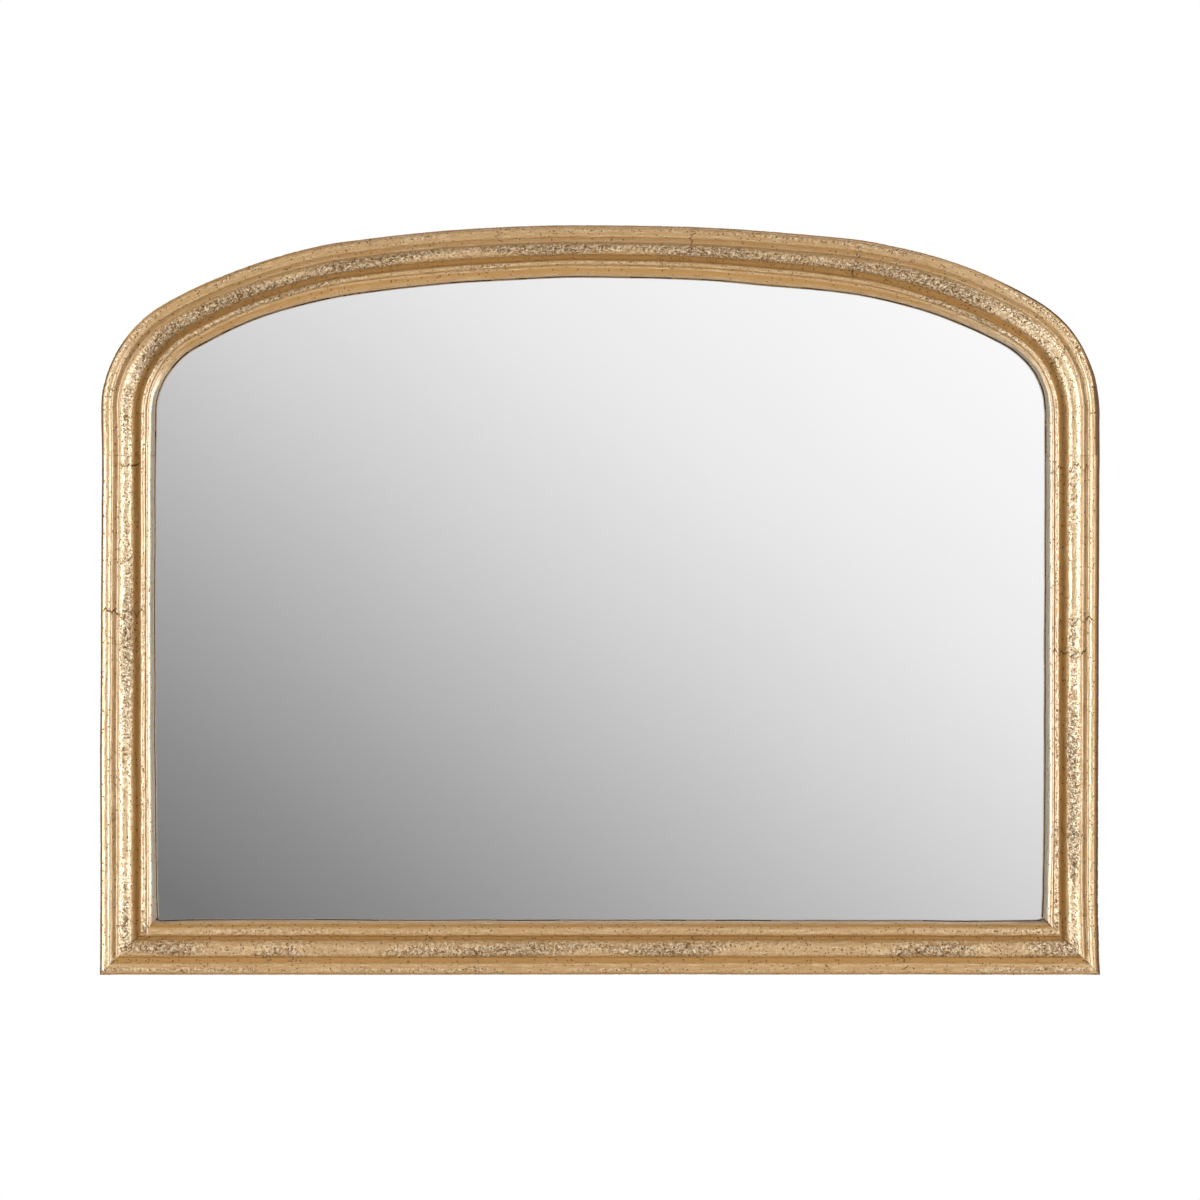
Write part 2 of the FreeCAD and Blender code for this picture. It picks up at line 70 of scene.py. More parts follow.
# How the hand-made frame departs from the turned moulding. Each row: distance along the member,
# drift towards the glass of the outer edge, the cove, the reeds' inner edge and the sight edge,
# how crumbly the gesso is, and how dark the outer step is, where the leaf and lip are paler too.
# The last column paints light and shade: the dark step is dark paint, with painted shade where it
# reaches over the right bead's lit flank; the paler leaf and lip are painted light of the side
# lamps; where it is 0, on the arch and the bottom rail, the leaf is browned as painted shade
hand_shares = {
    "bottom_rail": (
        (0.000, 0, -0.0005, 0, 0.0024, 1.0, 0.2), (0.012, 0, 0, 0, 0.0012, 1.0, 0.1),
        (0.070, 0, 0, 0, 0.0008, 1.0, 0), (0.250, 0, 0, 0, 0.0010, 0.75, 0),
        (0.500, 0, 0, 0, 0.0014, 0.8, 0), (0.730, 0, 0, 0, 0.0018, 0.9, 0),
        (0.788, 0, 0, 0, 0.0012, 1.0, 0), (0.800, 0, 0, 0, 0.0020, 1.0, 0)),
    "left_stile": (
        (0.000, 0, 0, 0.0010, 0.0034, 1.0, 0.5), (0.012, 0, 0, 0.0012, 0.0030, 0.8, 0.5),
        (0.060, 0, 0, 0.0012, 0.0024, 0.45, 0.5), (0.150, 0, 0, 0.0004, 0.0014, 0.45, 0.5),
        (0.225, 0.0002, 0, 0.0002, 0.0011, 0.6, 0.5), (0.260, 0.0004, 0, 0.0002, 0.0010, 0.8, 0.5),
        (0.330, 0.0008, 0, 0.0002, 0.0010, 0.65, 0.5), (0.365, 0.0010, 0, 0.0002, 0.0011, 0.35, 0.5),
        (0.415, 0.0016, 0, 0.0004, 0.0014, 0.35, 0.5)),
    "left_shoulder": (
        (0.000, 0.0016, 0, 0.0004, 0.0014, 0.35, 0.5), (0.030, 0.0010, 0, 0.0006, 0.0015, 0.6, 0.5),
        (0.055, 0, 0, 0.0008, 0.0012, 0.9, 0.45),
        (0.080, 0, -0.0002, 0.0005, 0.0011, 0.9, 0.3),
        (0.110, 0, -0.0008, 0, 0.0012, 1.0, 0.1),
        (0.145, 0.0006, -0.0016, -0.0010, 0.0009, 1.0, 0),
        (0.205, 0.0010, -0.0026, -0.0022, 0.0002, 1.0, 0),
        (0.283, 0.0003, -0.0038, -0.0036, 0.0005, 1.0, 0)),
    "crown_rail": (
        (0.000, 0.0003, -0.0038, -0.0036, 0.0005, 1.0, 0),
        (0.100, -0.0006, -0.0044, -0.0042, -0.0006, 0.95, 0),
        (0.216, 0, -0.0046, -0.0045, -0.0008, 0.85, 0),
        (0.300, -0.0004, -0.0044, -0.0042, -0.0006, 0.8, 0),
        (0.360, -0.0008, -0.0040, -0.0038, 0, 0.85, 0),
        (0.432, -0.0016, -0.0034, -0.0030, -0.0006, 0.95, 0)),
    "right_shoulder": (
        (0.000, -0.0016, -0.0034, -0.0030, -0.0006, 0.95, 0),
        (0.090, -0.0026, -0.0022, -0.0020, -0.0010, 1.0, 0.1),
        (0.170, -0.0022, -0.0008, -0.0010, -0.0012, 1.0, 0.4),
        (0.215, -0.0008, 0, 0, -0.0006, 0.8, 0.8), (0.240, 0, 0, 0, 0.0002, 0.6, 1),
        (0.283, 0.0002, 0, 0, 0.0006, 0.45, 1)),
    "right_stile": (
        (0.000, 0.0002, 0, 0, 0.0006, 0.45, 1), (0.137, 0.0006, 0.0003, 0, 0.0010, 0.5, 1),
        (0.287, 0.0012, 0, 0, 0.0012, 0.85, 1), (0.350, 0.0012, 0, 0.0012, 0.0020, 1.0, 1),
        (0.403, 0.0004, 0, 0.0020, 0.0028, 1.0, 1), (0.415, 0, -0.0005, 0.0020, 0.0034, 1.0, 1)),
}

# Laps in the leaf: place along the member, then the first and last inset that the crack crosses,
# and how dark it is
lap_places = {
    "bottom_rail": ((0.158, 0.004, 0.030, 0.8), (0.325, 0.020, 0.034, 0.9), (0.501, 0.002, 0.024, 0.8),
                    (0.647, 0.002, 0.030, 0.7)),
    "left_stile": ((0.290, 0.002, 0.038, 1.0), (0.329, 0.012, 0.030, 0.8), (0.409, 0.013, 0.034, 1.0)),
    "right_stile": ((0.010, 0.008, 0.041, 0.9), (0.133, 0.002, 0.034, 0.9), (0.156, 0.010, 0.040, 0.9),
                    (0.301, 0.012, 0.041, 0.7)),
    "left_shoulder": ((0.014, 0.033, 0.039, 0.8),),
    "right_shoulder": ((0.062, 0.002, 0.016, 0.6), (0.190, 0.002, 0.030, 0.8)),
    "crown_rail": ((0.139, 0.004, 0.024, 0.5), (0.288, 0.002, 0.024, 0.7), (0.424, 0.002, 0.034, 1.0)),
}


def length(name, description, default):
    return FloatProperty(name=name, description=description, default=default, min=0.0,
                         unit="LENGTH", subtype="DISTANCE")


def turn(name, description, degrees):
    return FloatProperty(name=name, description=description, default=math.radians(degrees),
                         unit="ROTATION", subtype="ANGLE")


def level(name, description, default):
    return FloatProperty(name=name, description=description, default=default, min=0.0)


def paint(name, description, default):
    return FloatVectorProperty(name=name, description=description, default=default, size=4,
                               min=0.0, max=1.0, subtype="COLOR")


class ArchSizes(bpy.types.PropertyGroup):
    """Outline of the frame, struck from five centres."""
    overall_width: length("Width", "Width over the frame", 0.8)
    overall_height: length("Height", "Height over the frame", 0.6)
    crown_radius: length("Crown radius", "Outer radius of the flat middle of the arch", 1.62)
    haunch_radius: length("Haunch radius", "Outer radius between crown and shoulder", 0.41)
    shoulder_radius: length("Shoulder radius", "Outer radius of the corners", 0.105)
    haunch_end: turn("Haunch end", "Where the haunch meets the shoulder, from straight up", 29.2)
    crown_joint: turn("Crown joint", "Where the crown board ends, from straight up", 9.7)
    shoulder_foot: length("Shoulder foot", "Straight piece at the foot of a shoulder", 0.032)
    back_plane: length("Back plane", "Place of the frame's back", 0.01115)


class MouldingSizes(bpy.types.PropertyGroup):
    """Cross-section of the frame, from the outer edge to the sight edge."""
    datum: length("Datum", "Height that the beads and hollows spring from", 0.0217)
    ledge_width: length("Ledge width", "Narrow step outside the outer bead", 0.0013)
    ledge_drop: length("Ledge drop", "How far the step lies below the datum", 0.0026)
    corner_chamfer: length("Corner chamfer", "Flat on the outer corner", 0.0007)
    band_flank: length("Band flank", "Width of the steep outer side of the flat band", 0.0009)
    band_width: length("Band width", "Width of the flat outer band", 0.0047)
    band_foot: length("Band foot", "Height of the flat band's outer edge above the datum", 0.0011)
    band_lift: length("Band lift", "Height of its inner edge above the datum", 0.0019)
    band_rise: length("Band rise", "How far the flat band swells", 0.0004)
    outer_bead_width: length("Outer bead width", "Width of the outer bead", 0.0037)
    outer_bead_lift: length("Outer bead lift", "Height of its inner foot above the datum", 0.0004)
    outer_bead_rise: length("Outer bead rise", "Rise of the outer bead", 0.0014)
    hollow_width: length("Hollow width", "Width of the small hollow", 0.0037)
    hollow_depth: length("Hollow depth", "Depth of the small hollow", 0.0004)
    torus_width: length("Torus width", "Width of the large round", 0.0128)
    torus_rise: length("Torus rise", "Rise of the large round", 0.0056)
    cove_width: length("Cove width", "Width of the deep hollow", 0.0058)
    cove_depth: length("Cove depth", "Depth of the deep hollow", 0.0028)
    outer_reed_width: length("Outer reed width", "Width of the outer reed", 0.0041)
    outer_reed_rise: length("Outer reed rise", "Rise of the outer reed", 0.0022)
    inner_reed_width: length("Inner reed width", "Width of the inner reed", 0.0028)
    inner_reed_rise: length("Inner reed rise", "Rise of the inner reed", 0.0015)
    rail_torus_width: length("Rail round", "Width of the bottom rail's large round", 0.0142)
    rail_cove_width: length("Rail hollow", "Width of the bottom rail's narrow hollow", 0.0028)
    rail_cove_depth: length("Rail hollow depth", "Depth of that hollow", 0.0020)
    rail_bead_rise: length("Rail bead rise", "Rise of the one bead by its lip", 0.0028)
    lip_run: length("Lip run", "Width of the sloping lip", 0.0016)
    lip_rise: length("Lip rise", "Rise of the sloping lip", 0.0094)
    lip_bulge: length("Lip bulge", "How far the lip swells", 0.0006)
    rebate_width: length("Rebate width", "Width of the step that the glass sits in", 0.009)
    rebate_depth: length("Rebate depth", "Height of that step from the back", 0.0105)
    soften_rounds: IntProperty(name="Softening", default=2, min=0,
                               description="Rounds of smoothing that fill the sharp grooves")


class SurfaceSizes(bpy.types.PropertyGroup):
    """Hand-made relief of the gesso and its mesh."""
    row_spacing: length("Row spacing", "Distance between rows of vertices along a member", 0.0008)
    rail_row_spacing: length("Rail row spacing", "The same on the long bottom rail", 0.00118)
    across_spacing: length("Spacing across", "Distance between vertices across the face", 0.00056)
    plain_spacing: length("Plain spacing", "Spacing on the back and the rebate", 0.006)
    crumble_depth: length("Crumble depth", "Depth of the crumbly gesso", 0.0018)
    crumble_length: length("Crumble length", "Distance between its lumps", 0.0030)
    pit_depth: length("Pit depth", "Depth of the larger pits", 0.0007)
    pit_spacing: length("Pit spacing", "Distance between the larger pits", 0.0058)
    wave_depth: length("Wave depth", "How far the edges wander", 0.0005)
    wave_length: length("Wave length", "Distance over which they wander", 0.07)
    wave_fade: length("Wave fade", "Distance from a joint over which the waves die out", 0.02)
    lap_depth: length("Lap depth", "Depth of a crack in the leaf", 0.00055)
    lap_width: length("Lap width", "Half the width of a crack", 0.0005)
    lap_wander: length("Lap wander", "How far a crack wanders along the member", 0.007)
    lap_reach: length("Lap reach", "Half the length with close rows of vertices", 0.0025)
    lap_pull: length("Lap pull", "Half the length over which rows follow the crack", 0.011)
    joint_groove: length("Joint groove", "Width of the fine groove at a butt joint", 0.0006)
    mitre_reach: length("Mitre reach", "Length over which rows lean towards a mitre", 0.08)


class PlateSizes(bpy.types.PropertyGroup):
    """The silvered layer behind the pane."""
    plate_inset: length("Plate inset", "From the frame's outer edge to the plate", 0.0335)
    silver_bite: length("Silver bite", "How far the silver reaches into the pane", 0.00003)
    arc_steps: IntProperty(name="Arc steps", description="Steps in each arc", default=40, min=3)


class FinishColours(bpy.types.PropertyGroup):
    """Colours of the finishes, in linear light."""
    gold_pale: paint("Pale gold", "Burnished leaf", (0.60, 0.42, 0.21, 1))
    # Rubbed gold also lights the crumb crests as a painted highlight
    gold_rubbed: paint("Rubbed gold", "Leaf rubbed bright on the high spots", (0.88, 0.74, 0.51, 1))
    cream: paint("Cream", "Pale size on the lip", (0.25, 0.215, 0.165, 1))
    gold: paint("Gold", "Leaf", (0.46, 0.295, 0.125, 1))
    # Deep gold also paints shade into the creases and browns the arch and rail as painted shade
    gold_deep: paint("Deep gold", "Leaf in the hollows", (0.27, 0.14, 0.042, 1))
    wash: paint("Brown wash", "Antique wash in the hollows", (0.42, 0.23, 0.07, 1))
    # The dark speck colour also paints shade into the deepest creases
    soot: paint("Dark speck", "Dirt in pits and cracks", (0.085, 0.042, 0.013, 1))
    # Umber also paints shade over the right bead's outer flank
    umber: paint("Umber", "Dark paint on the outer step", (0.075, 0.035, 0.012, 1))
    pine: paint("Pine", "Bare wood", (0.62, 0.40, 0.19, 1))
    pine_late: paint("Pine grain", "Dark grain of the bare wood", (0.36, 0.19, 0.075, 1))
    hardboard: paint("Hardboard", "Backing board", (0.24, 0.125, 0.055, 1))
    hardboard_pale: paint("Hardboard fibres", "Pale fibres of the board", (0.36, 0.21, 0.105, 1))
    zinc: paint("Zinc", "Plated steel", (0.66, 0.67, 0.68, 1))
    nickel: paint("Nickel", "Polished plated steel", (0.76, 0.73, 0.68, 1))
    silver: paint("Silver", "Silvering of the mirror", (0.975, 0.972, 0.972, 1))
    silver_clouded: paint("Clouded silver", "Faint clouds in the silver", (0.965, 0.962, 0.962, 1))
    backing_paint: paint("Backing paint", "Paint on the back of the silver", (0.19, 0.2, 0.21, 1))
    glass: paint("Glass", "Clear pane", (0.985, 0.993, 0.988, 1))
    glass_pale: paint("Pale glass", "Paler parts of the pane", (0.99, 0.996, 0.993, 1))
    rubber: paint("Rubber", "Blocks and bumpers", (0.035, 0.034, 0.033, 1))
    foam: paint("Foam", "Glazing tape", (0.02, 0.021, 0.022, 1))


class StageSettings(bpy.types.PropertyGroup):
    """Camera, floor and soft lights."""
    camera_distance: length("Camera distance", "From the camera to the mirror", 2.5)
    camera_height: length("Camera height", "Above the bottom edge", 0.3)
    picture_width: length("Picture width", "Width of the picture at the mirror", 0.9624)
    floor_drop: length("Floor drop", "From the bottom edge down to the floor", 0.9)
    floor_size: length("Floor size", "Side of the square floor", 5.0)
    room_level: level("Room level", "Even light from all round", 0.22)
    side_level: level("Side light", "Power of the soft boxes at the sides", 58.0)
    top_level: level("Top light", "Power of the soft box above", 4.5)
    front_level: level("Front light", "Power of the large soft box behind the camera", 12.0)
    back_level: level("Back light", "Power of the soft box behind the mirror", 30.0)
    least_forward: level("Least forward", "Least way forward that the shades divide by", 0.05)
    shade_aside: level("Shade aside", "Change of shade for a metre to the right", 0.5925)
    shade_up: level("Shade up", "Change of shade for a metre up", 0.8415)
    shades_end: level("End of shades", "Slope off the axis where the shades start to fade", 0.3)
    shades_gone: level("Shades gone", "Slope off the axis where only the far level is left", 0.8)
    far_level: level("Far level", "Grey of the studio beyond the shades", 0.28)


# The frame's outline

def outline(arch):
    """What follows from the sizes of the arch."""
    half_width = arch.overall_width / 2
    reach = arch.crown_radius - arch.haunch_radius
    drop = arch.haunch_radius - arch.shoulder_radius
    crown_end = math.asin((half_width - arch.shoulder_radius
                           - drop * math.sin(arch.haunch_end)) / reach)
    crown_z = arch.overall_height - arch.crown_radius
    haunch_x = reach * math.sin(crown_end)
    haunch_z = crown_z + reach * math.cos(crown_end)
    shoulder_x = haunch_x + drop * math.sin(arch.haunch_end)
    shoulder_z = haunch_z + drop * math.cos(arch.haunch_end)
    return SimpleNamespace(half_width=half_width, crown_end=crown_end, crown_z=crown_z,
                           haunch_x=haunch_x, haunch_z=haunch_z, shoulder_x=shoulder_x,
                           shoulder_z=shoulder_z, stile_top=shoulder_z - arch.shoulder_foot)


def member_runs(arch):
    """The runs of each member's outer edge, clockwise seen from the front."""
    line = outline(arch)
    haunch = (line.haunch_z, arch.haunch_radius)
    shoulder = (line.shoulder_z, arch.shoulder_radius)
    return {
        "bottom_rail": (Straight(line.half_width, 0, math.pi, arch.overall_width),),
        "left_stile": (Straight(-line.half_width, 0, -RIGHT_ANGLE, line.stile_top),),
        "left_shoulder": (
            Straight(-line.half_width, line.stile_top, -RIGHT_ANGLE, arch.shoulder_foot),
            Arc(-line.shoulder_x, *shoulder, -RIGHT_ANGLE, -arch.haunch_end),
            Arc(-line.haunch_x, *haunch, -arch.haunch_end, -arch.crown_joint)),
        "crown_rail": (
            Arc(-line.haunch_x, *haunch, -arch.crown_joint, -line.crown_end),
            Arc(0, line.crown_z, arch.crown_radius, -line.crown_end, line.crown_end),
            Arc(line.haunch_x, *haunch, line.crown_end, arch.crown_joint)),
        "right_shoulder": (
            Arc(line.haunch_x, *haunch, arch.crown_joint, arch.haunch_end),
            Arc(line.shoulder_x, *shoulder, arch.haunch_end, RIGHT_ANGLE),
            Straight(line.half_width, line.shoulder_z, RIGHT_ANGLE, arch.shoulder_foot)),
        "right_stile": (Straight(line.half_width, line.stile_top, RIGHT_ANGLE, line.stile_top),),
    }


def run_length(run):
    if isinstance(run, Arc):
        return run.radius * (run.end - run.start)
    return run.length


def member_start(arch, name):
    """Distance round the outer edge, clockwise from the lower right corner, to a member's start."""
    start = 0
    for member, runs in member_runs(arch).items():
        if member == name:
            break
        start += sum(run_length(run) for run in runs)
    return start


def run_place(run):
    """Where the section stands at the start of a run."""
    if isinstance(run, Arc):
        lift = Matrix.Translation((0, 0, run.radius))
        return Matrix.Translation((run.x, 0, run.z)) @ Matrix.Rotation(run.start, 4, "Y") @ lift
    return Matrix.Translation((run.x, 0, run.z)) @ Matrix.Rotation(run.heading, 4, "Y")


def directions(run, point):
    """The ways along the member and from its outer edge towards the glass, at a point."""
    angle = run.heading if isinstance(run, Straight) else math.atan2(point.x - run.x,
                                                                     point.z - run.z)
    along = Vector((math.cos(angle), 0, -math.sin(angle)))
    inward = Vector((-math.sin(angle), 0, -math.cos(angle)))
    return along, inward


# The section of the moulding

class Section:
    """A chain of vertices over the origin, with what each one is told about the surface."""

    def __init__(self, mesh, back_plane):
        self.mesh = mesh
        self.back_plane = back_plane
        layers = mesh.verts.layers.float
        self.layers = {name: layers.new(name)
                       for name in ("inset", "height", "girth", "wash", "crumble", "along", "lap",
                                    "depth", "pale")}
        self.tip = None

    def place(self, inset, height):
        return Vector((0, self.back_plane - height, -inset))

    def begin(self, inset, height):
        self.tip = self.mesh.verts.new(self.place(inset, height))

    def spun(self, steps, wash, crumble, **spin):
        """Adds vertices by spinning the tip, with wash and crumble from the start to the end."""
        before = len(self.mesh.verts)
        bmesh.ops.spin(self.mesh, geom=[self.tip], steps=steps, use_duplicate=False, **spin)
        self.mesh.verts.ensure_lookup_table()
        made = self.mesh.verts[before:]
        girth = self.tip[self.layers["girth"]]
        last = self.tip.co
        for index, vertex in enumerate(made):
            girth += (vertex.co - last).length
            last = vertex.co
            vertex[self.layers["girth"]] = girth
            part = (index + 1) / steps
            vertex[self.layers["wash"]] = between(wash, part)
            vertex[self.layers["crumble"]] = between(crumble, part)
        self.tip = made[-1]

    def line_to(self, inset, height, spacing, wash=(1, 1, 1), crumble=(0, 0, 0)):
        reach = self.place(inset, height) - self.tip.co
        steps = max(1, round(reach.length / spacing))
        self.spun(steps, wash, crumble, cent=(0, 0, 0), axis=(1, 0, 0), dvec=reach / steps, angle=0)

    def swell_to(self, inset, height, rise, spacing, wash, crumble):
        """A bead, or with a negative rise a hollow."""
        start = self.tip.co.copy()
        chord = self.place(inset, height) - start
        radius = (chord.length_squared / 4 + rise * rise) / (2 * rise)
        outward = chord.cross(Vector((1, 0, 0))).normalized()
        centre = start + chord / 2 + outward * (rise - radius)
        angle = 4 * math.atan(2 * rise / chord.length)
        steps = max(3, round(abs(angle * radius) / spacing))
        self.spun(steps, wash, crumble, cent=centre, axis=(1, 0, 0), angle=angle)


def between(stops, part):
    """The value at a part of the way through three evenly spaced stops."""
    start, middle, end = stops
    if part < 0.5:
        return start + (middle - start) * part * 2
    return middle + (end - middle) * (part * 2 - 1)


def face_swells(sizes, name):
    """The beads and hollows of the face. Each: width, lift of its inner edge, rise, then the wash
    and the crumble at its start, middle and end. A negative rise makes a hollow."""
    stile = name.endswith("stile")
    # Painted shade: the flat band carries more brown wash on the arch and rail than on the side
    # members, which the side lamps light
    band_wash_and_shade = (0.1, 0, 0.2) if stile else (0.6, 0.4, 0.55)
    band_crumble = (0.2, 0.25, 0.2) if stile else (0.3, 0.6, 0.3)
    swells = [
        (sizes.band_flank, sizes.band_foot, sizes.corner_chamfer / 4, (0.6, 0.4, 0.2),
         (0.2, 0.2, 0.2)),
        (sizes.band_width, sizes.band_lift, sizes.band_rise, band_wash_and_shade, band_crumble),
        (sizes.outer_bead_width, sizes.outer_bead_lift, sizes.outer_bead_rise, (0.2, 0, 0.4),
         (0.1, 0.15, 0.1))]
    if name == "bottom_rail":
        edges = face_edges(sizes)
        last_bead = edges[3] - edges[0] - sizes.rail_torus_width - sizes.rail_cove_width
        return swells + [
            (sizes.hollow_width, 0, -sizes.hollow_depth, (0.8, 1, 0.8), (0.3, 0.2, 0.3)),
            (sizes.rail_torus_width, 0, sizes.torus_rise, (0.8, 0.1, 0.1), (0.8, 1, 0.3)),
            (sizes.rail_cove_width, 0, -sizes.rail_cove_depth, (0.6, 1, 1), (0.3, 0.3, 0.3)),
            (last_bead, 0, sizes.rail_bead_rise, (0.75, 0, 0.9), (0.3, 0.4, 0.2))]
    torus_crumble = (0.3, 1, 0.7) if stile else (0.1, 0.9, 1)
    return swells + [
        (sizes.hollow_width, 0, -sizes.hollow_depth, (0.5, 0.6, 0.3), (0.1, 0.1, 0.2)),
        (sizes.torus_width, 0, sizes.torus_rise, (0.1, 0, 0), torus_crumble),
        (sizes.cove_width, 0, -sizes.cove_depth, (0.7, 0.8, 1), (0.5, 0.2, 0.3)),
        (sizes.outer_reed_width, 0, sizes.outer_reed_rise, (0.5, 0, 0.4), (0.3, 0.7, 0.4)),
        (sizes.inner_reed_width, 0, sizes.inner_reed_rise, (0.95, 0, 0.8), (0.2, 0.2, 0.1))]


def make_section(mesh, arch, sizes, surface, name):
    """The moulding's closed outline, from the outer wall round the face, the lip and the rebate."""
    section = Section(mesh, arch.back_plane)
    fine = surface.across_spacing
    wall = 4 * fine
    plain = surface.plain_spacing
    ledge = sizes.datum - sizes.ledge_drop
    inset = sizes.ledge_width
    lip_wash = (1.1, -0.2, -0.35) if name == "bottom_rail" else (0.9, 0.4, 0.3)
    inner_wash = (-0.3, -0.1, 0.9) if name.endswith("stile") else (-0.4, 0.5, 1.5)
    section.begin(0, 0)
    section.line_to(0, ledge - sizes.corner_chamfer, wall, (1, 0.9, 0.8), (0, 0.1, 0.2))
    section.line_to(sizes.corner_chamfer, ledge, fine, (0.8, 0.8, 0.8), (0.2, 0.2, 0.2))
    section.line_to(inset, ledge, fine, (0.8, 0.85, 0.9), (0.2, 0.2, 0.2))
    for width, lift, rise, wash, crumble in face_swells(sizes, name):
        inset += width
        section.swell_to(inset, sizes.datum + lift, rise, fine, wash, crumble)
    inset += sizes.lip_run
    lip_foot = sizes.datum - sizes.lip_rise
    section.swell_to(inset, lip_foot, sizes.lip_bulge, fine, lip_wash, (0.1, 0, 0))
    face_end = section.tip
    section.line_to(inset, sizes.rebate_depth, fine, inner_wash)
    soften(mesh, sizes, face_end)
    section.line_to(inset - sizes.rebate_width, sizes.rebate_depth, plain)
    section.line_to(inset - sizes.rebate_width, 0, plain)
    section.line_to(0, 0, plain)
    for vertex in mesh.verts:
        vertex[section.layers["inset"]] = -vertex.co.z
        vertex[section.layers["height"]] = arch.back_plane - vertex.co.y
    bmesh.ops.remove_doubles(mesh, verts=mesh.verts[:], dist=sizes.corner_chamfer / 20)
    return section


def soften(mesh, sizes, face_end):
    """Fills the sharp grooves between the swells a little, as thick gesso does."""
    grooves = [vertex for vertex in mesh.verts
               if -vertex.co.z > sizes.ledge_width * 2 and vertex is not face_end
               and len(vertex.link_edges) == 2]
    for _ in range(sizes.soften_rounds):
        bmesh.ops.smooth_vert(mesh, verts=grooves, factor=0.5, use_axis_x=True,
                              use_axis_y=True, use_axis_z=True)


# Sweeping the section along a member

def row_stretches(start, end, laps, spacing, surface):
    """Stretches of a run with their row spacing, close at each lap."""
    stretches = []
    place = start
    for lap in sorted(laps):
        if start < lap < end:
            near = max(place, lap - surface.lap_reach)
            far = min(end, lap + surface.lap_reach)
            if near > place:
                stretches.append((place, near, spacing))
            stretches.append((near, far, surface.lap_width))
            place = far
    stretches.append((place, end, spacing))
    return stretches


def sweep(section, runs, laps, spacing, surface):
    """Carries the section along the runs in long steps, divides them into rows of vertices,
    and then sets every row on the true curve of its run."""
    mesh = section.mesh
    bmesh.ops.transform(mesh, matrix=run_place(runs[0]), verts=mesh.verts[:])
    done = 0
    for run in runs:
        reach = run_length(run)
        for start, end, gap in row_stretches(done, done + reach, laps, spacing, surface):
            carry(section, run, start, end, gap)
        done += reach
    runs_of = []
    for vertex in mesh.verts:
        distance = vertex[section.layers["along"]]
        passed = 0
        for run in runs:
            reach = run_length(run)
            if distance <= passed + reach or run is runs[-1]:
                break
            passed += reach
        vertex.co = run_point(run, distance - passed, vertex[section.layers["inset"]], vertex.co.y)
        runs_of.append(run)
    return runs_of, done


def carry(section, run, start, end, gap):
    """One stretch of a run, spun from the last row and then divided into rows."""
    mesh = section.mesh
    along_layer = section.layers["along"]
    row = [vertex for vertex in mesh.verts if math.isclose(vertex[along_layer], start, abs_tol=1e-6)]
    in_row = set(row)
    edges = [edge for edge in mesh.edges if in_row.issuperset(edge.verts)]
    before = set(mesh.verts)
    if isinstance(run, Arc):
        spin = {"cent": (run.x, 0, run.z), "angle": (end - start) / run.radius}
    else:
        along, _ = directions(run, None)
        spin = {"cent": (0, 0, 0), "angle": 0, "dvec": along * (end - start)}
    bmesh.ops.spin(mesh, geom=row + edges, axis=(0, 1, 0), steps=1, use_duplicate=False, **spin)
    made = [vertex for vertex in mesh.verts if vertex not in before]
    for vertex in made:
        vertex[along_layer] = end
    rungs = [edge for vertex in made for edge in vertex.link_edges if edge.other_vert(vertex) in before]
    cuts = max(1, round((end - start) / gap)) - 1
    bmesh.ops.subdivide_edges(mesh, edges=rungs, cuts=cuts, use_grid_fill=True)


def run_point(run, distance, inset, y):
    """The point at a distance along a run and at an inset from its outer edge."""
    if isinstance(run, Arc):
        angle = run.start + distance / run.radius
        reach = run.radius - inset
        return Vector((run.x + reach * math.sin(angle), y, run.z + reach * math.cos(angle)))
    along, inward = directions(run, None)
    return Vector((run.x, y, run.z)) + along * distance + inward * inset


# Relief of the gesso

# Each pattern has its own layer of the noise, so that no two repeat each other
layer_of = SimpleNamespace(outer_edge=0.4, cracks=2.7, strokes=3.1, patches=4.4, breaks=5.5,
                           grain=6.2, joints=8.1, sight_edge=9.1)

# Scales along and across are noise units per metre. The rest are plain factors, apart from
# crack_ends, a length in metres, crack_noise, which is roughness, gap and octaves, and
# row_digits, the digits of a distance along the member by which its rows are told apart
gesso = SimpleNamespace(
    member_step=7.3, sight_pace=1.3,
    stroke_slant=0.7, stroke_cross=0.4, stroke_stretch=0.55, fine_pace=2.1, fine_share=0.5,
    crease_falloff=3.3, crease_gain=2.2, pit_falloff=3.4, pit_gain=1.6,
    grain_along=120, grain_across=260, grain_share=0.12,
    crack_along=90, crack_across=170, crack_noise=(0.7, 2.1, 4), crack_ends=0.002,
    crack_spread=1.6, break_along=70, break_across=420, break_level=0.65, break_swing=1.6,
    joint_across=300, joint_step=1.5, joint_level=0.12, joint_swing=0.5,
    patch_along=16, patch_across=70, patch_level=0.75, patch_swing=1.1, patch_least=0.35,
    row_digits=5)

# How far the dark of the outer step reaches and how strong it is, how strong it is where the
# step is only a little dark, and how pale the leaf and lip get. The dark is dark paint and painted
# shade, reaching furthest on the right; the paleness is painted light of the side lamps
edge_paint_shade_and_light = SimpleNamespace(reach_least=0.5, reach_swing=1.2, faint=0.6, faint_by=0.3, strength=1.3,
                          pale_gain=2, lip_strength=1.05)


def within(value):
    """The value kept between 0 and 1."""
    return min(1, max(0, value))


def fade(value, reach):
    """From 0 at the place itself to 1 at a distance of reach, with soft ends."""
    part = within(value / reach)
    return part * part * (3 - 2 * part)


def ripple(x, y, layer):
    """Soft noise between -1 and 1."""
    return noise.noise(Vector((x, y, layer)))


def face_edges(sizes):
    """Insets of the hollow's, the torus's, the cove's and the reeds' inner edges."""
    bead = sizes.ledge_width + sizes.band_flank + sizes.band_width + sizes.outer_bead_width
    hollow = bead + sizes.hollow_width
    torus = hollow + sizes.torus_width
    cove = torus + sizes.cove_width
    return hollow, torus, cove, cove + sizes.outer_reed_width + sizes.inner_reed_width


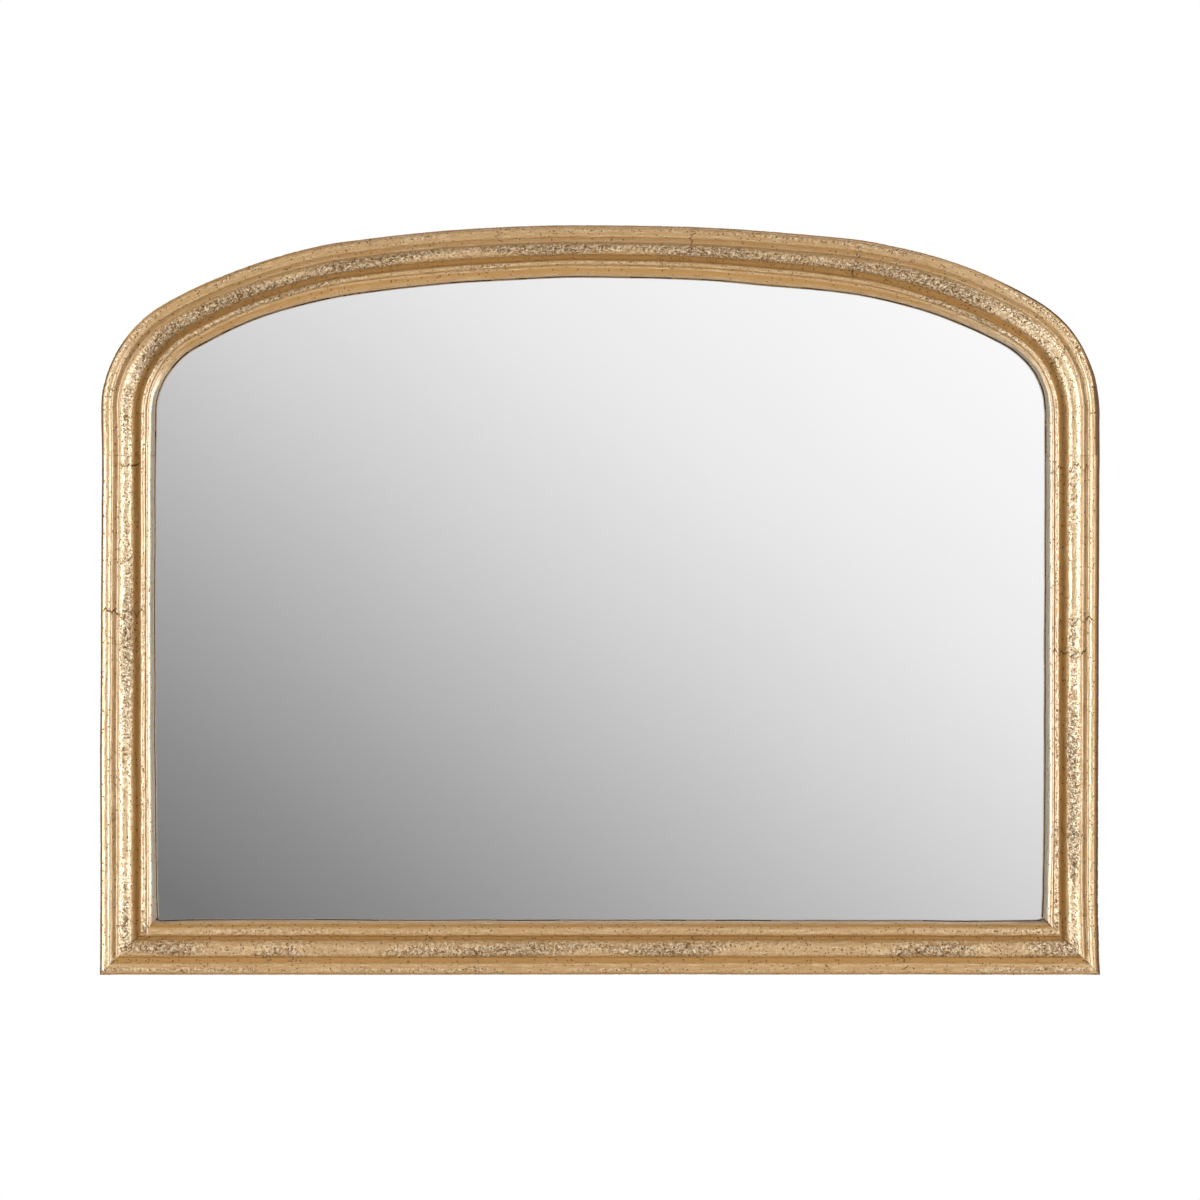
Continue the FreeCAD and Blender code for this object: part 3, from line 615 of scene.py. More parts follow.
def rows_lean(name, inset, placed, edges):
    """How far a member's start and end rows lean at this inset, from 0 at the outer edge."""
    cove, reeds = edges[2:]
    on_reeds = cove < inset < reeds
    if name == "bottom_rail":
        return placed, reeds if on_reeds else placed
    if name == "left_stile":
        return cove if on_reeds else placed, 0
    if name == "right_stile":
        return 0, placed
    return 0, 0


def hand_at(name, distance):
    """The member's own row of differences at a distance along it."""
    rows = hand_shares[name]
    after = next((index for index, row in enumerate(rows) if row[0] >= distance), len(rows) - 1)
    low = rows[max(0, after - 1)]
    high = rows[after]
    part = fade(distance - low[0], max(high[0] - low[0], 1e-6))
    return Hand(*(first + (last - first) * part for first, last in zip(low[1:], high[1:])))


def drift(hand, inset, edges, face_width):
    """How far the moulding drifts towards the glass at an inset."""
    places = (0, *edges, face_width)
    shifts = (hand.outer, hand.outer, (hand.outer + 2 * hand.cove) / 3, hand.cove, hand.reeds,
              hand.sight)
    for first, last, start, end in zip(places, places[1:], shifts, shifts[1:]):
        if inset <= last:
            return start + (end - start) * (inset - first) / (last - first)
    return hand.sight


def wander(name, inset, along, total, surface, face_width):
    """How far the moulding wanders towards the glass at this place."""
    member = gesso.member_step * len(name)
    place = along / surface.wave_length
    outer = (1 + ripple(place, member, layer_of.outer_edge)) / 2
    inner = ripple(place * gesso.sight_pace, member, layer_of.sight_edge)
    part = inset / face_width
    ends = fade(min(along, total - along), surface.wave_fade)
    return surface.wave_depth * ends * (outer * (1 - part) + inner * part)


def crumble_relief(station, girth, crumble, surface):
    """How far creases and pits sink below the turned moulding, and how much of one there is."""
    scale = 1 / surface.crumble_length
    stroke = Vector(((station + girth * gesso.stroke_slant) * scale,
                     (girth - station * gesso.stroke_cross) * scale * gesso.stroke_stretch,
                     layer_of.strokes))
    fine = abs(noise.noise(stroke * gesso.fine_pace))
    lumps = abs(noise.noise(stroke)) + gesso.fine_share * fine
    crease = max(0, 1 - gesso.crease_falloff * lumps)
    distances, _ = noise.voronoi(Vector((station, girth, 0)) / surface.pit_spacing)
    pit = max(0, 1 - distances[0] * gesso.pit_falloff) * min(1, crumble * gesso.pit_gain)
    grain = ripple(station * gesso.grain_along, girth * gesso.grain_across, layer_of.grain)
    sink = (surface.crumble_depth * crumble * crease + surface.pit_depth * pit
            + surface.crumble_depth * gesso.grain_share * (grain * 0.5 + 0.5))
    return sink, min(1, crease * min(1, crumble * gesso.crease_gain) + pit)


def lap_amount(name, along, inset, total, surface):
    """How much of a crack there is at a place, and how far its row is pulled along."""
    pulled = 0
    amount = 0
    edge = min(along, total - along)
    for place, first, last, dark in lap_places[name]:
        gap = abs(along - place)
        if gap > surface.lap_pull:
            continue
        spot = Vector((place * gesso.crack_along, inset * gesso.crack_across, layer_of.cracks))
        jag = noise.fractal(spot, *gesso.crack_noise)
        pulled = (surface.lap_wander * jag * (1 - fade(gap, surface.lap_pull))
                  * fade(edge, surface.lap_pull))
        inside = fade(inset - first, gesso.crack_ends) * fade(last - inset, gesso.crack_ends)
        broken = ripple(inset * gesso.break_across, place * gesso.break_along, layer_of.breaks)
        broken = within(gesso.break_level + gesso.break_swing * broken)
        near = max(0, 1 - gap / (surface.lap_width * gesso.crack_spread))
        amount = dark * inside * broken * near
    if edge < surface.joint_groove:
        faint = ripple(inset * gesso.joint_across, gesso.joint_step * round(along),
                       layer_of.joints)
        faint = max(0, gesso.joint_level + gesso.joint_swing * faint)
        amount = max(amount, faint * (1 - edge / surface.joint_groove))
    return amount, pulled


def paint_edge_shade_and_light(vertex, layers, hand, edges, sizes):
    """Darkens the outer step with dark paint and painted shade, and pales the leaf and the lip with
    painted light, as the member's row says.
    """
    inset = vertex[layers["inset"]]
    reach = edge_paint_shade_and_light.reach_least + edge_paint_shade_and_light.reach_swing * hand.dark * (1 + hand.dark)
    off_step = fade(inset - sizes.ledge_width * reach, sizes.ledge_width)
    dark = max(hand.dark, edge_paint_shade_and_light.faint * fade(hand.dark, edge_paint_shade_and_light.faint_by))
    vertex[layers["wash"]] += edge_paint_shade_and_light.strength * dark * (1 - off_step)
    pale = min(1, edge_paint_shade_and_light.pale_gain * hand.dark)
    vertex[layers["pale"]] = pale
    if vertex[layers["height"]] > sizes.datum - sizes.lip_rise:
        on_lip = fade(inset - edges[3] + sizes.lip_run / 4, sizes.lip_run / 3)
        vertex[layers["wash"]] -= edge_paint_shade_and_light.lip_strength * pale * on_lip


def shape_gesso(section, name, runs_of, total, start, sizes, surface):
    """Drifts the moulding by hand, leans the end rows into the mitres, and carves the relief."""
    layers = section.layers
    edges = face_edges(sizes)
    face_width = max(vertex[layers["inset"]] for vertex in section.mesh.verts)
    rebate_inset = face_width - sizes.rebate_width
    hand_rows = {}
    shaped = []
    for vertex, run in zip(section.mesh.verts, runs_of):
        along, inward = directions(run, vertex.co)
        distance = vertex[layers["along"]]
        inset = vertex[layers["inset"]]
        girth = vertex[layers["girth"]]
        height = vertex[layers["height"]]
        row = round(distance, gesso.row_digits)
        if row not in hand_rows:
            hand_rows[row] = hand_at(name, distance)
        hand = hand_rows[row]
        on_face = fade(height - sizes.rebate_depth, sizes.ledge_drop)
        if height > sizes.rebate_depth - sizes.corner_chamfer:
            on_face = max(on_face, fade(inset - rebate_inset, sizes.rebate_width))
        shift = on_face * drift(hand, inset, edges, face_width)
        shift += (1 - on_face) * hand.outer * (1 - inset / face_width)
        start_lean, end_lean = rows_lean(name, inset, inset + shift, edges)
        shift += on_face * wander(name, inset, distance, total, surface, face_width)
        amount, pulled = lap_amount(name, distance, inset, total, surface)
        pulled *= on_face
        pulled += start_lean * max(0, 1 - distance / surface.mitre_reach)
        pulled -= end_lean * max(0, 1 - (total - distance) / surface.mitre_reach)
        station = start + distance + pulled
        patch = ripple(station * gesso.patch_along, girth * gesso.patch_across, layer_of.patches)
        patch = min(1, max(gesso.patch_least, gesso.patch_level + gesso.patch_swing * patch))
        crumble = vertex[layers["crumble"]] * hand.crumbly * patch
        sink, depth = crumble_relief(station, girth, crumble, surface)
        paint_edge_shade_and_light(vertex, layers, hand, edges, sizes)
        for layer, value in (("along", station), ("crumble", crumble), ("lap", amount),
                             ("depth", depth)):
            vertex[layers[layer]] = value
        vertex.co += along * pulled + inward * shift
        shaped.append((vertex, on_face * (sink + surface.lap_depth * amount)))
    section.mesh.normal_update()
    moves = [(vertex, vertex.normal * sink) for vertex, sink in shaped]
    for vertex, move in moves:
        vertex.co -= move


def close_ends(mesh):
    """Caps the two cut ends of a member."""
    open_edges = [edge for edge in mesh.edges if edge.is_boundary]
    bmesh.ops.edgeloop_fill(mesh, edges=open_edges, mat_nr=1, use_smooth=False)


def make_member(name, arch, sizes, surface, finishes):
    mesh = bmesh.new()
    section = make_section(mesh, arch, sizes, surface, name)
    runs = member_runs(arch)[name]
    laps = [lap[0] for lap in lap_places[name]]
    spacing = surface.rail_row_spacing if name == "bottom_rail" else surface.row_spacing
    runs_of, total = sweep(section, runs, laps, spacing, surface)
    bmesh.ops.recalc_face_normals(mesh, faces=mesh.faces[:])
    shape_gesso(section, name, runs_of, total, member_start(arch, name), sizes, surface)
    inset_layer = section.layers["inset"]
    height_layer = section.layers["height"]
    for face in mesh.faces:
        height = sum(vertex[height_layer] for vertex in face.verts) / len(face.verts)
        inset = sum(vertex[inset_layer] for vertex in face.verts) / len(face.verts)
        behind = height <= sizes.rebate_depth and inset > 0
        face.material_index = 1 if behind else 0
        face.smooth = not behind
    close_ends(mesh)
    return finished(mesh, "gilded_" + name, finishes)


def finished(mesh, name, materials):
    """A new object from a finished mesh, which is then freed."""
    data = bpy.data.meshes.new(name)
    mesh.to_mesh(data)
    mesh.free()
    data.set_sharp_from_angle(angle=CORNER_ANGLE)
    piece = bpy.data.objects.new(name, data)
    bpy.context.scene.collection.objects.link(piece)
    for material in materials:
        data.materials.append(material)
    return piece


# Node materials

class NodeTree:
    """A node tree, with short calls for the nodes that the finishes and the surround use."""

    def __init__(self, tree):
        self.tree = tree

    def put(self, socket, value):
        if isinstance(value, bpy.types.NodeSocket):
            self.tree.links.new(value, socket)
        else:
            socket.default_value = value

    def node(self, kind, inputs, **settings):
        made = self.tree.nodes.new(kind)
        for setting, value in settings.items():
            setattr(made, setting, value)
        for key, value in inputs.items():
            self.put(made.inputs[key], value)
        return made

    def math(self, operation, *values):
        inputs = dict(enumerate(values))
        return self.node("ShaderNodeMath", inputs, operation=operation).outputs[0]

    def chain(self, operation, first, *others):
        for other in others:
            first = self.math(operation, first, other)
        return first

    def times(self, *values):
        return self.chain("MULTIPLY", *values)

    def plus(self, *values):
        return self.chain("ADD", *values)

    def most(self, *values):
        return self.chain("MAXIMUM", *values)

    def centred(self, pattern):
        """A pattern that adds as much as it takes away."""
        return self.math("SUBTRACT", pattern, 0.5)

    def joined(self, x, y):
        return self.node("ShaderNodeCombineXYZ", {"X": x, "Y": y}).outputs[0]

    def split(self, vector):
        return self.node("ShaderNodeSeparateXYZ", {"Vector": vector}).outputs

    def band(self, value, low, high, start=0.0, end=1.0, curve="SMOOTHSTEP"):
        """Goes from start to end as the value goes from low to high."""
        return self.node("ShaderNodeMapRange", {
            "Value": value, "From Min": low, "From Max": high, "To Min": start, "To Max": end},
            interpolation_type=curve).outputs[0]

    def mix(self, factor, first, second):
        inputs = {0: factor, 6: first, 7: second}
        return self.node("ShaderNodeMix", inputs, data_type="RGBA").outputs[2]

    def over(self, colour, *layers):
        """Lays colours over one another. Each layer: how much of it shows, and its colour."""
        for amount, paint in layers:
            colour = self.mix(amount, colour, paint)
        return colour


class Recipe(NodeTree):
    """One node material, with a Principled shader at its end."""

    def __init__(self, name):
        self.material = bpy.data.materials.new(name)
        self.material.use_nodes = True
        super().__init__(self.material.node_tree)
        self.shader = self.tree.nodes["Principled BSDF"]
        self.place = self.node("ShaderNodeTexCoord", {}).outputs["Object"]

    def attribute(self, name):
        return self.node("ShaderNodeAttribute", {}, attribute_name=name).outputs["Fac"]

    def member_place(self):
        """Along the member and round its section."""
        return self.joined(self.attribute("along"), self.attribute("girth"))

    def noise(self, vector, scale, detail=2.0, roughness=0.5, distortion=0.0):
        return self.node("ShaderNodeTexNoise", {
            "Vector": vector, "Scale": scale, "Detail": detail, "Roughness": roughness,
            "Distortion": distortion}).outputs["Fac"]

    def grain(self, vector, scale, spin=(0, 0, 0), **details):
        """Noise drawn out by a different scale each way."""
        inputs = {"Vector": vector, "Scale": scale, "Rotation": spin}
        drawn_out = self.node("ShaderNodeMapping", inputs).outputs[0]
        return self.noise(drawn_out, 1, **details)

    def bump(self, height, distance, strength=1.0):
        inputs = {"Height": height, "Distance": distance, "Strength": strength}
        return self.node("ShaderNodeBump", inputs).outputs[0]

    def set(self, **values):
        for key, value in values.items():
            self.put(self.shader.inputs[key.replace("_", " ").title().replace("Ior", "IOR")], value)
        return self.material


def toned(colour, factor):
    """A colour made darker or paler."""
    return (*(min(1, channel * factor) for channel in colour[:3]), 1)


def gilded_finish(colours):
    """Gold leaf and bronze size over rough gesso, with brown wash left in the hollows. Darkened
    creases, pale crests, the browned arch and rail and the pale side members are painted shade and
    light in part.
    """
    recipe = Recipe("gilded finish")
    run = recipe.member_place()
    crumble = recipe.attribute("crumble")
    hollow = recipe.attribute("wash")
    depth = recipe.attribute("depth")
    patches = recipe.noise(recipe.place, 34, 3)
    mottle = recipe.noise(recipe.place, 560, 3, 0.65)
    speckle = recipe.noise(recipe.place, 800, 2, 0.6)
    brushed = recipe.grain(run, (60, 620, 1), detail=3, roughness=0.6)
    strokes = recipe.grain(run, (420, 225, 1), (0, 0, 0.6), roughness=0.65)
    tracks = recipe.grain(run, (560, 380, 1), distortion=0.6)
    pores = recipe.node("ShaderNodeTexVoronoi", {"Vector": run, "Scale": 360}).outputs

    rough = recipe.band(crumble, 0.12, 0.55)
    # Pale crests and dark creases of the crumbly gesso: rubbed leaf and dirt in part, painted highlight
    # and painted shade in part
    rubbed = recipe.times(recipe.band(strokes, 0.44, 0.56), rough, recipe.band(depth, 0.35, 0.05))
    crease_dirt_and_shade = recipe.most(recipe.times(recipe.band(strokes, 0.48, 0.38, 0, 0.6), rough),
                       recipe.band(depth, 0.3, 0.65))
    # Cream size where the wash runs below 0, on the lips; on the side members that paleness is painted
    # light
    pale = recipe.band(hollow, -0.05, -0.4)
    # Painted shade: where the row's pale is 0, on the arch and the bottom rail, the leaf is browned
    # with deep gold and made less shiny
    painted_shade = recipe.band(recipe.attribute("pale"), 1.0, 0.0, 0.0, 0.5)
    stain = recipe.plus(hollow, recipe.times(recipe.centred(mottle), 0.9),
                        recipe.times(recipe.centred(patches), 0.4))
    wash = recipe.band(stain, 0.3, 0.85)
    # Umber on the outer step and the lip's inner face: dark paint, plus painted shade where the step's
    # dark reaches over the right bead
    edge = recipe.band(hollow, 1.05, 1.5)
    pore = recipe.times(recipe.band(pores["Distance"], 0.27, 0.17),
                        recipe.band(recipe.plus(pores["Color"], crumble), 0.52, 0.58))
    track = recipe.times(recipe.band(recipe.math("ABSOLUTE", recipe.centred(tracks)), 0.04, 0.015),
                         recipe.band(crumble, 0.35, 0.7))
    # Dark specks, tracks and laps are dirt and cracks; the deepest creases darkened here are painted
    # shade as well
    dark = recipe.most(recipe.times(pore, 0.85), recipe.times(track, 0.6),
                       recipe.band(depth, 0.5, 0.9, 0, 0.65), recipe.attribute("lap"))

    colour = recipe.over(
        colours.gold,
        (recipe.band(mottle, 0.38, 0.62), colours.gold_pale),
        (recipe.band(patches, 0.35, 0.65, 0, 0.3), colours.gold),
        (recipe.band(brushed, 0.54, 0.66, 0, 0.4), colours.gold_deep),
        (recipe.band(brushed, 0.46, 0.36, 0, 0.5), colours.gold_rubbed),
        (recipe.band(speckle, 0.56, 0.64, 0, 0.6), colours.gold_deep),
        (rubbed, colours.gold_rubbed),
        (recipe.times(crease_dirt_and_shade, 0.65), colours.gold_deep),
        (pale, colours.cream),
        (recipe.times(wash, 0.9), colours.wash),
        (painted_shade, colours.gold_deep),
        (edge, colours.umber),
        (dark, colours.soot))
    # How dull the surface is: wash, specks, the umber step, painted crease shade, crumble, cream and
    # the painted shade of the arch and rail
    dulled = recipe.most(wash, dark, edge, recipe.times(crease_dirt_and_shade, 0.8), recipe.times(rough, 0.35),
                         recipe.times(pale, 0.8), recipe.times(painted_shade, 1.1))
    height = recipe.plus(recipe.times(strokes, recipe.plus(crumble, 0.02)),
                         recipe.times(speckle, 0.025), recipe.times(dark, -0.25))
    relief = recipe.bump(height, 0.0028)
    return recipe.set(
        base_color=colour,
        metallic=recipe.band(dulled, 0.1, 0.9, 0.25, 0.0),
        roughness=recipe.band(recipe.plus(mottle, dulled), 0.3, 1.4, 0.32, 0.6),
        coat_weight=recipe.band(dulled, 0.1, 0.9, 1.0, 0.05),
        coat_roughness=0.28, coat_ior=2.0, specular_ior_level=0.1,
        normal=relief, coat_normal=relief)


def bare_wood(colours):
    """Sawn pine with its grain along the member."""
    recipe = Recipe("bare pine")
    run = recipe.member_place()
    rings = recipe.grain(run, (6, 260, 1), detail=4, roughness=0.6, distortion=0.4)
    fibres = recipe.grain(run, (90, 2600, 1), detail=3)
    colour = recipe.over(colours.pine, (recipe.band(rings, 0.4, 0.62), colours.pine_late),
                         (recipe.band(fibres, 0.45, 0.8, 0, 0.35), colours.pine_late))
    return recipe.set(base_color=colour, roughness=recipe.band(fibres, 0.2, 0.8, 0.55, 0.8),
                      normal=recipe.bump(fibres, 0.0002, 0.5))


def pine_blocks(colours):
    """The same pine on the small hidden joinery, with its grain by place."""
    recipe = Recipe("joinery pine")
    rings = recipe.grain(recipe.place, (30, 300, 300), detail=4, roughness=0.6, distortion=0.4)
    colour = recipe.mix(recipe.band(rings, 0.4, 0.62), colours.pine, colours.pine_late)
    return recipe.set(base_color=colour, roughness=recipe.band(rings, 0.2, 0.8, 0.5, 0.75),
                      normal=recipe.bump(rings, 0.0002, 0.4))


def hardboard(colours):
    """Pressed fibre board with pale fibres and fine dust."""
    recipe = Recipe("hardboard")
    fibres = recipe.grain(recipe.place, (140, 400, 900), detail=5, roughness=0.7, distortion=0.8)
    flecks = recipe.grain(recipe.place, (1500, 600, 300), detail=3, roughness=0.6)
    cloud = recipe.noise(recipe.place, 9, 3)
    colour = recipe.over(
        colours.hardboard, (recipe.band(fibres, 0.42, 0.68), colours.hardboard_pale),
        (recipe.band(flecks, 0.6, 0.75, 0, 0.5), colours.hardboard_pale),
        (recipe.band(cloud, 0.4, 0.8, 0, 0.25), colours.pine))
    return recipe.set(base_color=colour, roughness=recipe.band(fibres, 0.2, 0.8, 0.6, 0.85),
                      normal=recipe.bump(fibres, 0.00015, 0.5))


def plated_steel(name, colour, smooth, rough):
    """Pressed and plated steel with faint scratches and clouding."""
    recipe = Recipe(name)
    cloud = recipe.noise(recipe.place, 90, 4, 0.6)
    scratches = recipe.grain(recipe.place, (300, 300, 4000), (0.3, 0.2, 0.5), detail=3)
    tone = recipe.mix(recipe.band(cloud, 0.35, 0.7), colour[:], toned(colour, 0.72))
    return recipe.set(base_color=tone, metallic=1.0,
                      roughness=recipe.band(scratches, 0.3, 0.75, smooth, rough),
                      normal=recipe.bump(scratches, 0.00004, 0.4))


def rubber(name, colour):
    """Moulded black rubber or foam with a dusty bloom."""
    recipe = Recipe(name)
    bloom = recipe.noise(recipe.place, 260, 4, 0.65)
    pores = recipe.noise(recipe.place, 2400)
    tone = recipe.mix(recipe.band(bloom, 0.4, 0.75), colour[:], toned(colour, 2.4))
    return recipe.set(base_color=tone, roughness=recipe.band(bloom, 0.3, 0.7, 0.55, 0.8),
                      normal=recipe.bump(pores, 0.0001, 0.5))


def silvering(colours):
    """Silver against the pane, with its faintest clouding, and grey paint on its back."""
    recipe = Recipe("silvering")
    front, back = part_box("silvered_coating")
    painted = recipe.math("GREATER_THAN", recipe.split(recipe.place)["Y"], (front.y + back.y) / 2)
    cloud = recipe.noise(recipe.place, 4)
    tone = recipe.over(colours.silver, (recipe.band(cloud, 0.4, 0.7), colours.silver_clouded),
                       (painted, colours.backing_paint))
    return recipe.set(base_color=tone, metallic=recipe.math("SUBTRACT", 1.0, painted),
                      roughness=recipe.times(painted, 0.6))


def clear_glass(colours):
    """Clear float glass, a little green in its depth."""
    recipe = Recipe("clear glass")
    cloud = recipe.noise(recipe.place, 3)
    tone = recipe.mix(recipe.band(cloud, 0.3, 0.7), colours.glass, colours.glass_pale)
    return recipe.set(base_color=tone, roughness=0.0, ior=1.52, transmission_weight=1.0)


# The silvered layer

def arched_plate(arch, sizes, front, back):
    """A flat plate of the mirror's outline between two depths."""
    inset = sizes.plate_inset
    mesh = bmesh.new()
    runs = member_runs(arch)
    legs = (*runs["left_stile"], *runs["left_shoulder"], *runs["crown_rail"],
            *runs["right_shoulder"], *runs["right_stile"])
    tip = mesh.verts.new(run_point(legs[0], inset, inset, front))
    for leg in legs:
        if isinstance(leg, Arc):
            spin = {"cent": (leg.x, 0, leg.z), "angle": leg.end - leg.start, "steps": sizes.arc_steps}
        else:
            end = run_point(leg, leg.length - (inset if leg is legs[-1] else 0), inset, front)
            spin = {"cent": (0, 0, 0), "angle": 0, "dvec": end - tip.co, "steps": 1}
        bmesh.ops.spin(mesh, geom=[tip], axis=(0, 1, 0), use_duplicate=False, **spin)
        mesh.verts.ensure_lookup_table()
        tip = mesh.verts[-1]
    bmesh.ops.contextual_create(mesh, geom=[tip, mesh.verts[0]])
    bmesh.ops.remove_doubles(mesh, verts=mesh.verts[:], dist=sizes.plate_inset / 1000)
    bmesh.ops.contextual_create(mesh, geom=mesh.edges[:])
    raised = bmesh.ops.extrude_face_region(mesh, geom=mesh.faces[:])
    moved = [part for part in raised["geom"] if isinstance(part, bmesh.types.BMVert)]
    bmesh.ops.translate(mesh, verts=moved, vec=(0, back - front, 0))
    bmesh.ops.recalc_face_normals(mesh, faces=mesh.faces[:])
    return mesh


def wear(nodes, material):
    """Gives CAD nodes their finished material."""
    for name in nodes:
        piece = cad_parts[name]
        if not piece.material_slots:
            piece.data.materials.append(material)
        for slot in piece.material_slots:
            slot.material = material


# Operators

class MakeFrame(bpy.types.Operator):
    """Make the six gilded members of the frame"""
    bl_idname = "arched_mirror.make_frame"
    bl_label = "Frame members"

    def execute(self, context):
        scene = context.scene
        finishes = (gilded_finish(scene.mirror_colours), bare_wood(scene.mirror_colours))
        for name in member_runs(scene.mirror_arch):
            piece = make_member(name, scene.mirror_arch, scene.mirror_moulding,
                                scene.mirror_surface, finishes)
            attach(piece, "frame")
            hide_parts(name)
        return {"FINISHED"}


class MakeMirrorPlate(bpy.types.Operator):
    """Finish the glass, its silvering and the tape that it beds on"""
    bl_idname = "arched_mirror.make_plate"
    bl_label = "Mirror plate"

    def execute(self, context):
        colours = context.scene.mirror_colours
        wear(["mirror_glass"], clear_glass(colours))
        front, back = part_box("silvered_coating")
        sizes = context.scene.mirror_plate
        mesh = arched_plate(context.scene.mirror_arch, sizes, front.y - sizes.silver_bite, back.y)
        layer = finished(mesh, "silvered_layer", [silvering(colours)])
        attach(layer, "frame")
        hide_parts("silvered_coating")
        wear(["glazing_tape"], rubber("foam tape", colours.foam))
        return {"FINISHED"}


class MakeBacking(bpy.types.Operator):
    """Finish the backing board, blocks, spacers and hidden joinery"""
    bl_idname = "arched_mirror.make_backing"
    bl_label = "Backing and joinery"

    def execute(self, context):
        colours = context.scene.mirror_colours
        wear(["backing_board"], hardboard(colours))
        wear(["loose_tenons"], pine_blocks(colours))
        wear(["setting_blocks", "side_spacers"], rubber("block rubber", colours.rubber))
        return {"FINISHED"}


class MakeHardware(bpy.types.Operator):
    """Finish the turn buttons, hangers, screws, V nails and bumpers"""
    bl_idname = "arched_mirror.make_hardware"
    bl_label = "Hangers and fixings"

    def execute(self, context):
        colours = context.scene.mirror_colours
        zinc = plated_steel("zinc plate", colours.zinc, smooth=0.3, rough=0.5)
        nickel = plated_steel("nickel plate", colours.nickel, smooth=0.16, rough=0.32)
        buttons = [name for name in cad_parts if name.startswith("turn_button")]
        wear(buttons + ["hanger_screws", "mitre_v_nails", "left_hanger_strap",
                        "right_hanger_strap"], zinc)
        wear(["left_hanger_ring", "right_hanger_ring"], nickel)
        wear(["left_wall_bumper", "right_wall_bumper"], rubber("bumper rubber", colours.rubber))
        return {"FINISHED"}


class MakeStudio(bpy.types.Operator):
    """Set out the floor, soft lights, white surround and camera"""
    bl_idname = "arched_mirror.make_studio"
    bl_label = "Studio"

    def execute(self, context):
        stage = context.scene.mirror_stage
        make_floor(stage)
        make_surround(context.scene, stage)
        make_lights(stage)
        make_camera(context.scene, stage)
        context.scene.view_settings.view_transform = "Standard"
        return {"FINISHED"}


# Studio

# Grey of the studio that the glass shows: place on the ramp, and shade
studio_shades = ((0.095, 0.188), (0.2, 0.283), (0.295, 0.392), (0.41, 0.546), (0.5, 0.674),
                 (0.64, 0.84), (0.74, 0.913), (0.9, 1.0))


def grey(shade):
    return (shade, shade, shade, 1)


def make_floor(stage):
    mesh = bmesh.new()
    bmesh.ops.create_grid(mesh, x_segments=1, y_segments=1, size=stage.floor_size / 2)
    bmesh.ops.translate(mesh, verts=mesh.verts[:], vec=(0, 0, -stage.floor_drop))
    recipe = Recipe("pale floor")
    tone = recipe.mix(recipe.noise(recipe.place, 1.5), grey(0.86), grey(0.9))
    floor = finished(mesh, "pale_floor", [recipe.set(base_color=tone, roughness=0.7)])


def make_surround(scene, stage):
    """White behind the mirror, a studio that falls off to grey in front of it, even light else."""
    scene.world = bpy.data.worlds.new("studio surround")
    scene.world.use_nodes = True
    plan = NodeTree(scene.world.node_tree)
    plan.tree.nodes.clear()
    way = plan.split(plan.node("ShaderNodeTexCoord", {}).outputs["Generated"])
    forward = plan.most(plan.times(way["Y"], -1.0), stage.least_forward)
    aside = plan.math("DIVIDE", way["X"], forward)
    up = plan.math("DIVIDE", way["Z"], forward)
    climb = plan.math("MULTIPLY_ADD", up, stage.shade_up * stage.camera_distance, 0.5)
    climb = plan.math("MULTIPLY_ADD", aside, stage.shade_aside * stage.camera_distance, climb)
    ramp = plan.node("ShaderNodeValToRGB", {0: climb})
    elements = ramp.color_ramp.elements
    while len(elements) < len(studio_shades):
        elements.new(0.5)
    for element, (position, shade) in zip(elements, studio_shades):
        element.position = position
        element.color = grey(shade)
    off_axis = plan.node("ShaderNodeVectorMath", {0: plan.joined(aside, up)}, operation="LENGTH")
    outside = plan.band(off_axis.outputs["Value"], stage.shades_end, stage.shades_gone,
                        curve="LINEAR")
    reflected = plan.mix(outside, ramp.outputs[0], grey(stage.far_level))
    ray = plan.node("ShaderNodeLightPath", {}).outputs
    mirrored = plan.most(ray["Is Glossy Ray"], ray["Is Transmission Ray"])
    colour = plan.over(grey(stage.room_level), (mirrored, reflected),
                       (ray["Is Camera Ray"], WHITE))
    background = plan.node("ShaderNodeBackground", {"Color": colour, "Strength": 1.0})
    plan.node("ShaderNodeOutputWorld", {"Surface": background.outputs[0]})


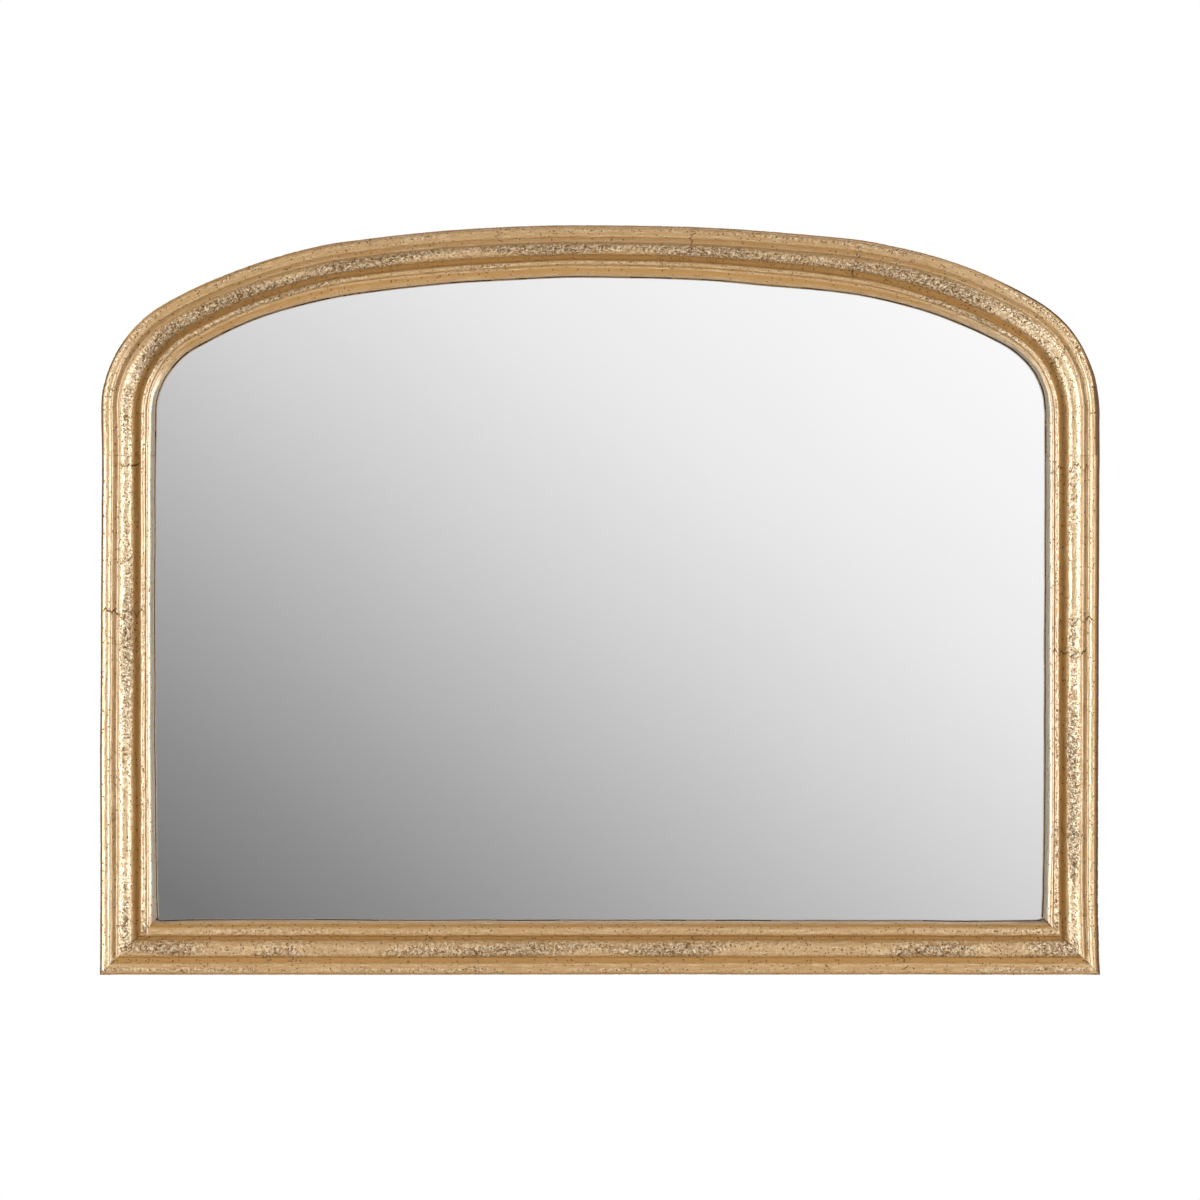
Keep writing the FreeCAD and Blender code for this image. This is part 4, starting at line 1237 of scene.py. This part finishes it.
def make_lights(stage):
    """The soft boxes. Each: its place, its width and height, and its power."""
    boxes = {
        "left soft box": ((-1.9, -0.9, 0.35), 1.5, 1.9, stage.side_level),
        "right soft box": ((1.9, -0.9, 0.35), 1.5, 1.9, stage.side_level),
        "top soft box": ((0, -1.2, 2.0), 2.0, 0.8, stage.top_level),
        "front soft box": ((0.6, -3.6, 1.9), 2.4, 1.2, stage.front_level),
        "back soft box": ((0.4, 3.0, 2.8), 2.4, 1.2, stage.back_level)}
    middle = Vector((0, 0, 0.3))
    for name, (place, width, height, power) in boxes.items():
        data = bpy.data.lights.new(name, "AREA")
        data.shape = "RECTANGLE"
        data.size = width
        data.size_y = height
        data.energy = power
        lamp = bpy.data.objects.new(name, data)
        lamp.location = place
        lamp.rotation_euler = (middle - Vector(place)).to_track_quat("-Z", "Y").to_euler()
        bpy.context.scene.collection.objects.link(lamp)


def make_camera(scene, stage):
    data = bpy.data.cameras.new("camera")
    data.lens = data.sensor_width * stage.camera_distance / stage.picture_width
    camera = bpy.data.objects.new("camera", data)
    camera.location = (0, -stage.camera_distance, stage.camera_height)
    camera.rotation_euler = (RIGHT_ANGLE, 0, 0)
    scene.collection.objects.link(camera)
    scene.camera = camera


# Panel, registration and the run

class MirrorPanel(bpy.types.Panel):
    """Lists the pieces of the mirror and its studio"""
    bl_idname = "VIEW3D_PT_arched_mirror"
    bl_label = "Arched wall mirror"
    bl_space_type = "VIEW_3D"
    bl_region_type = "UI"
    bl_category = "Mirror"

    def draw(self, context):
        for operator in operators:
            self.layout.operator(operator.bl_idname)


settings = {"mirror_arch": ArchSizes, "mirror_moulding": MouldingSizes,
            "mirror_surface": SurfaceSizes, "mirror_plate": PlateSizes,
            "mirror_colours": FinishColours, "mirror_stage": StageSettings}
operators = (MakeFrame, MakeMirrorPlate, MakeBacking, MakeHardware, MakeStudio)


def register():
    for part in (*settings.values(), *operators, MirrorPanel):
        bpy.utils.register_class(part)
    for name, group in settings.items():
        setattr(bpy.types.Scene, name, PointerProperty(type=group))


def unregister():
    for name in settings:
        delattr(bpy.types.Scene, name)
    for part in reversed((*settings.values(), *operators, MirrorPanel)):
        bpy.utils.unregister_class(part)


def main():
    register()
    for operator in operators:
        family, action = operator.bl_idname.split(".")
        getattr(getattr(bpy.ops, family), action)()


if __name__ == "__main__":
    main()
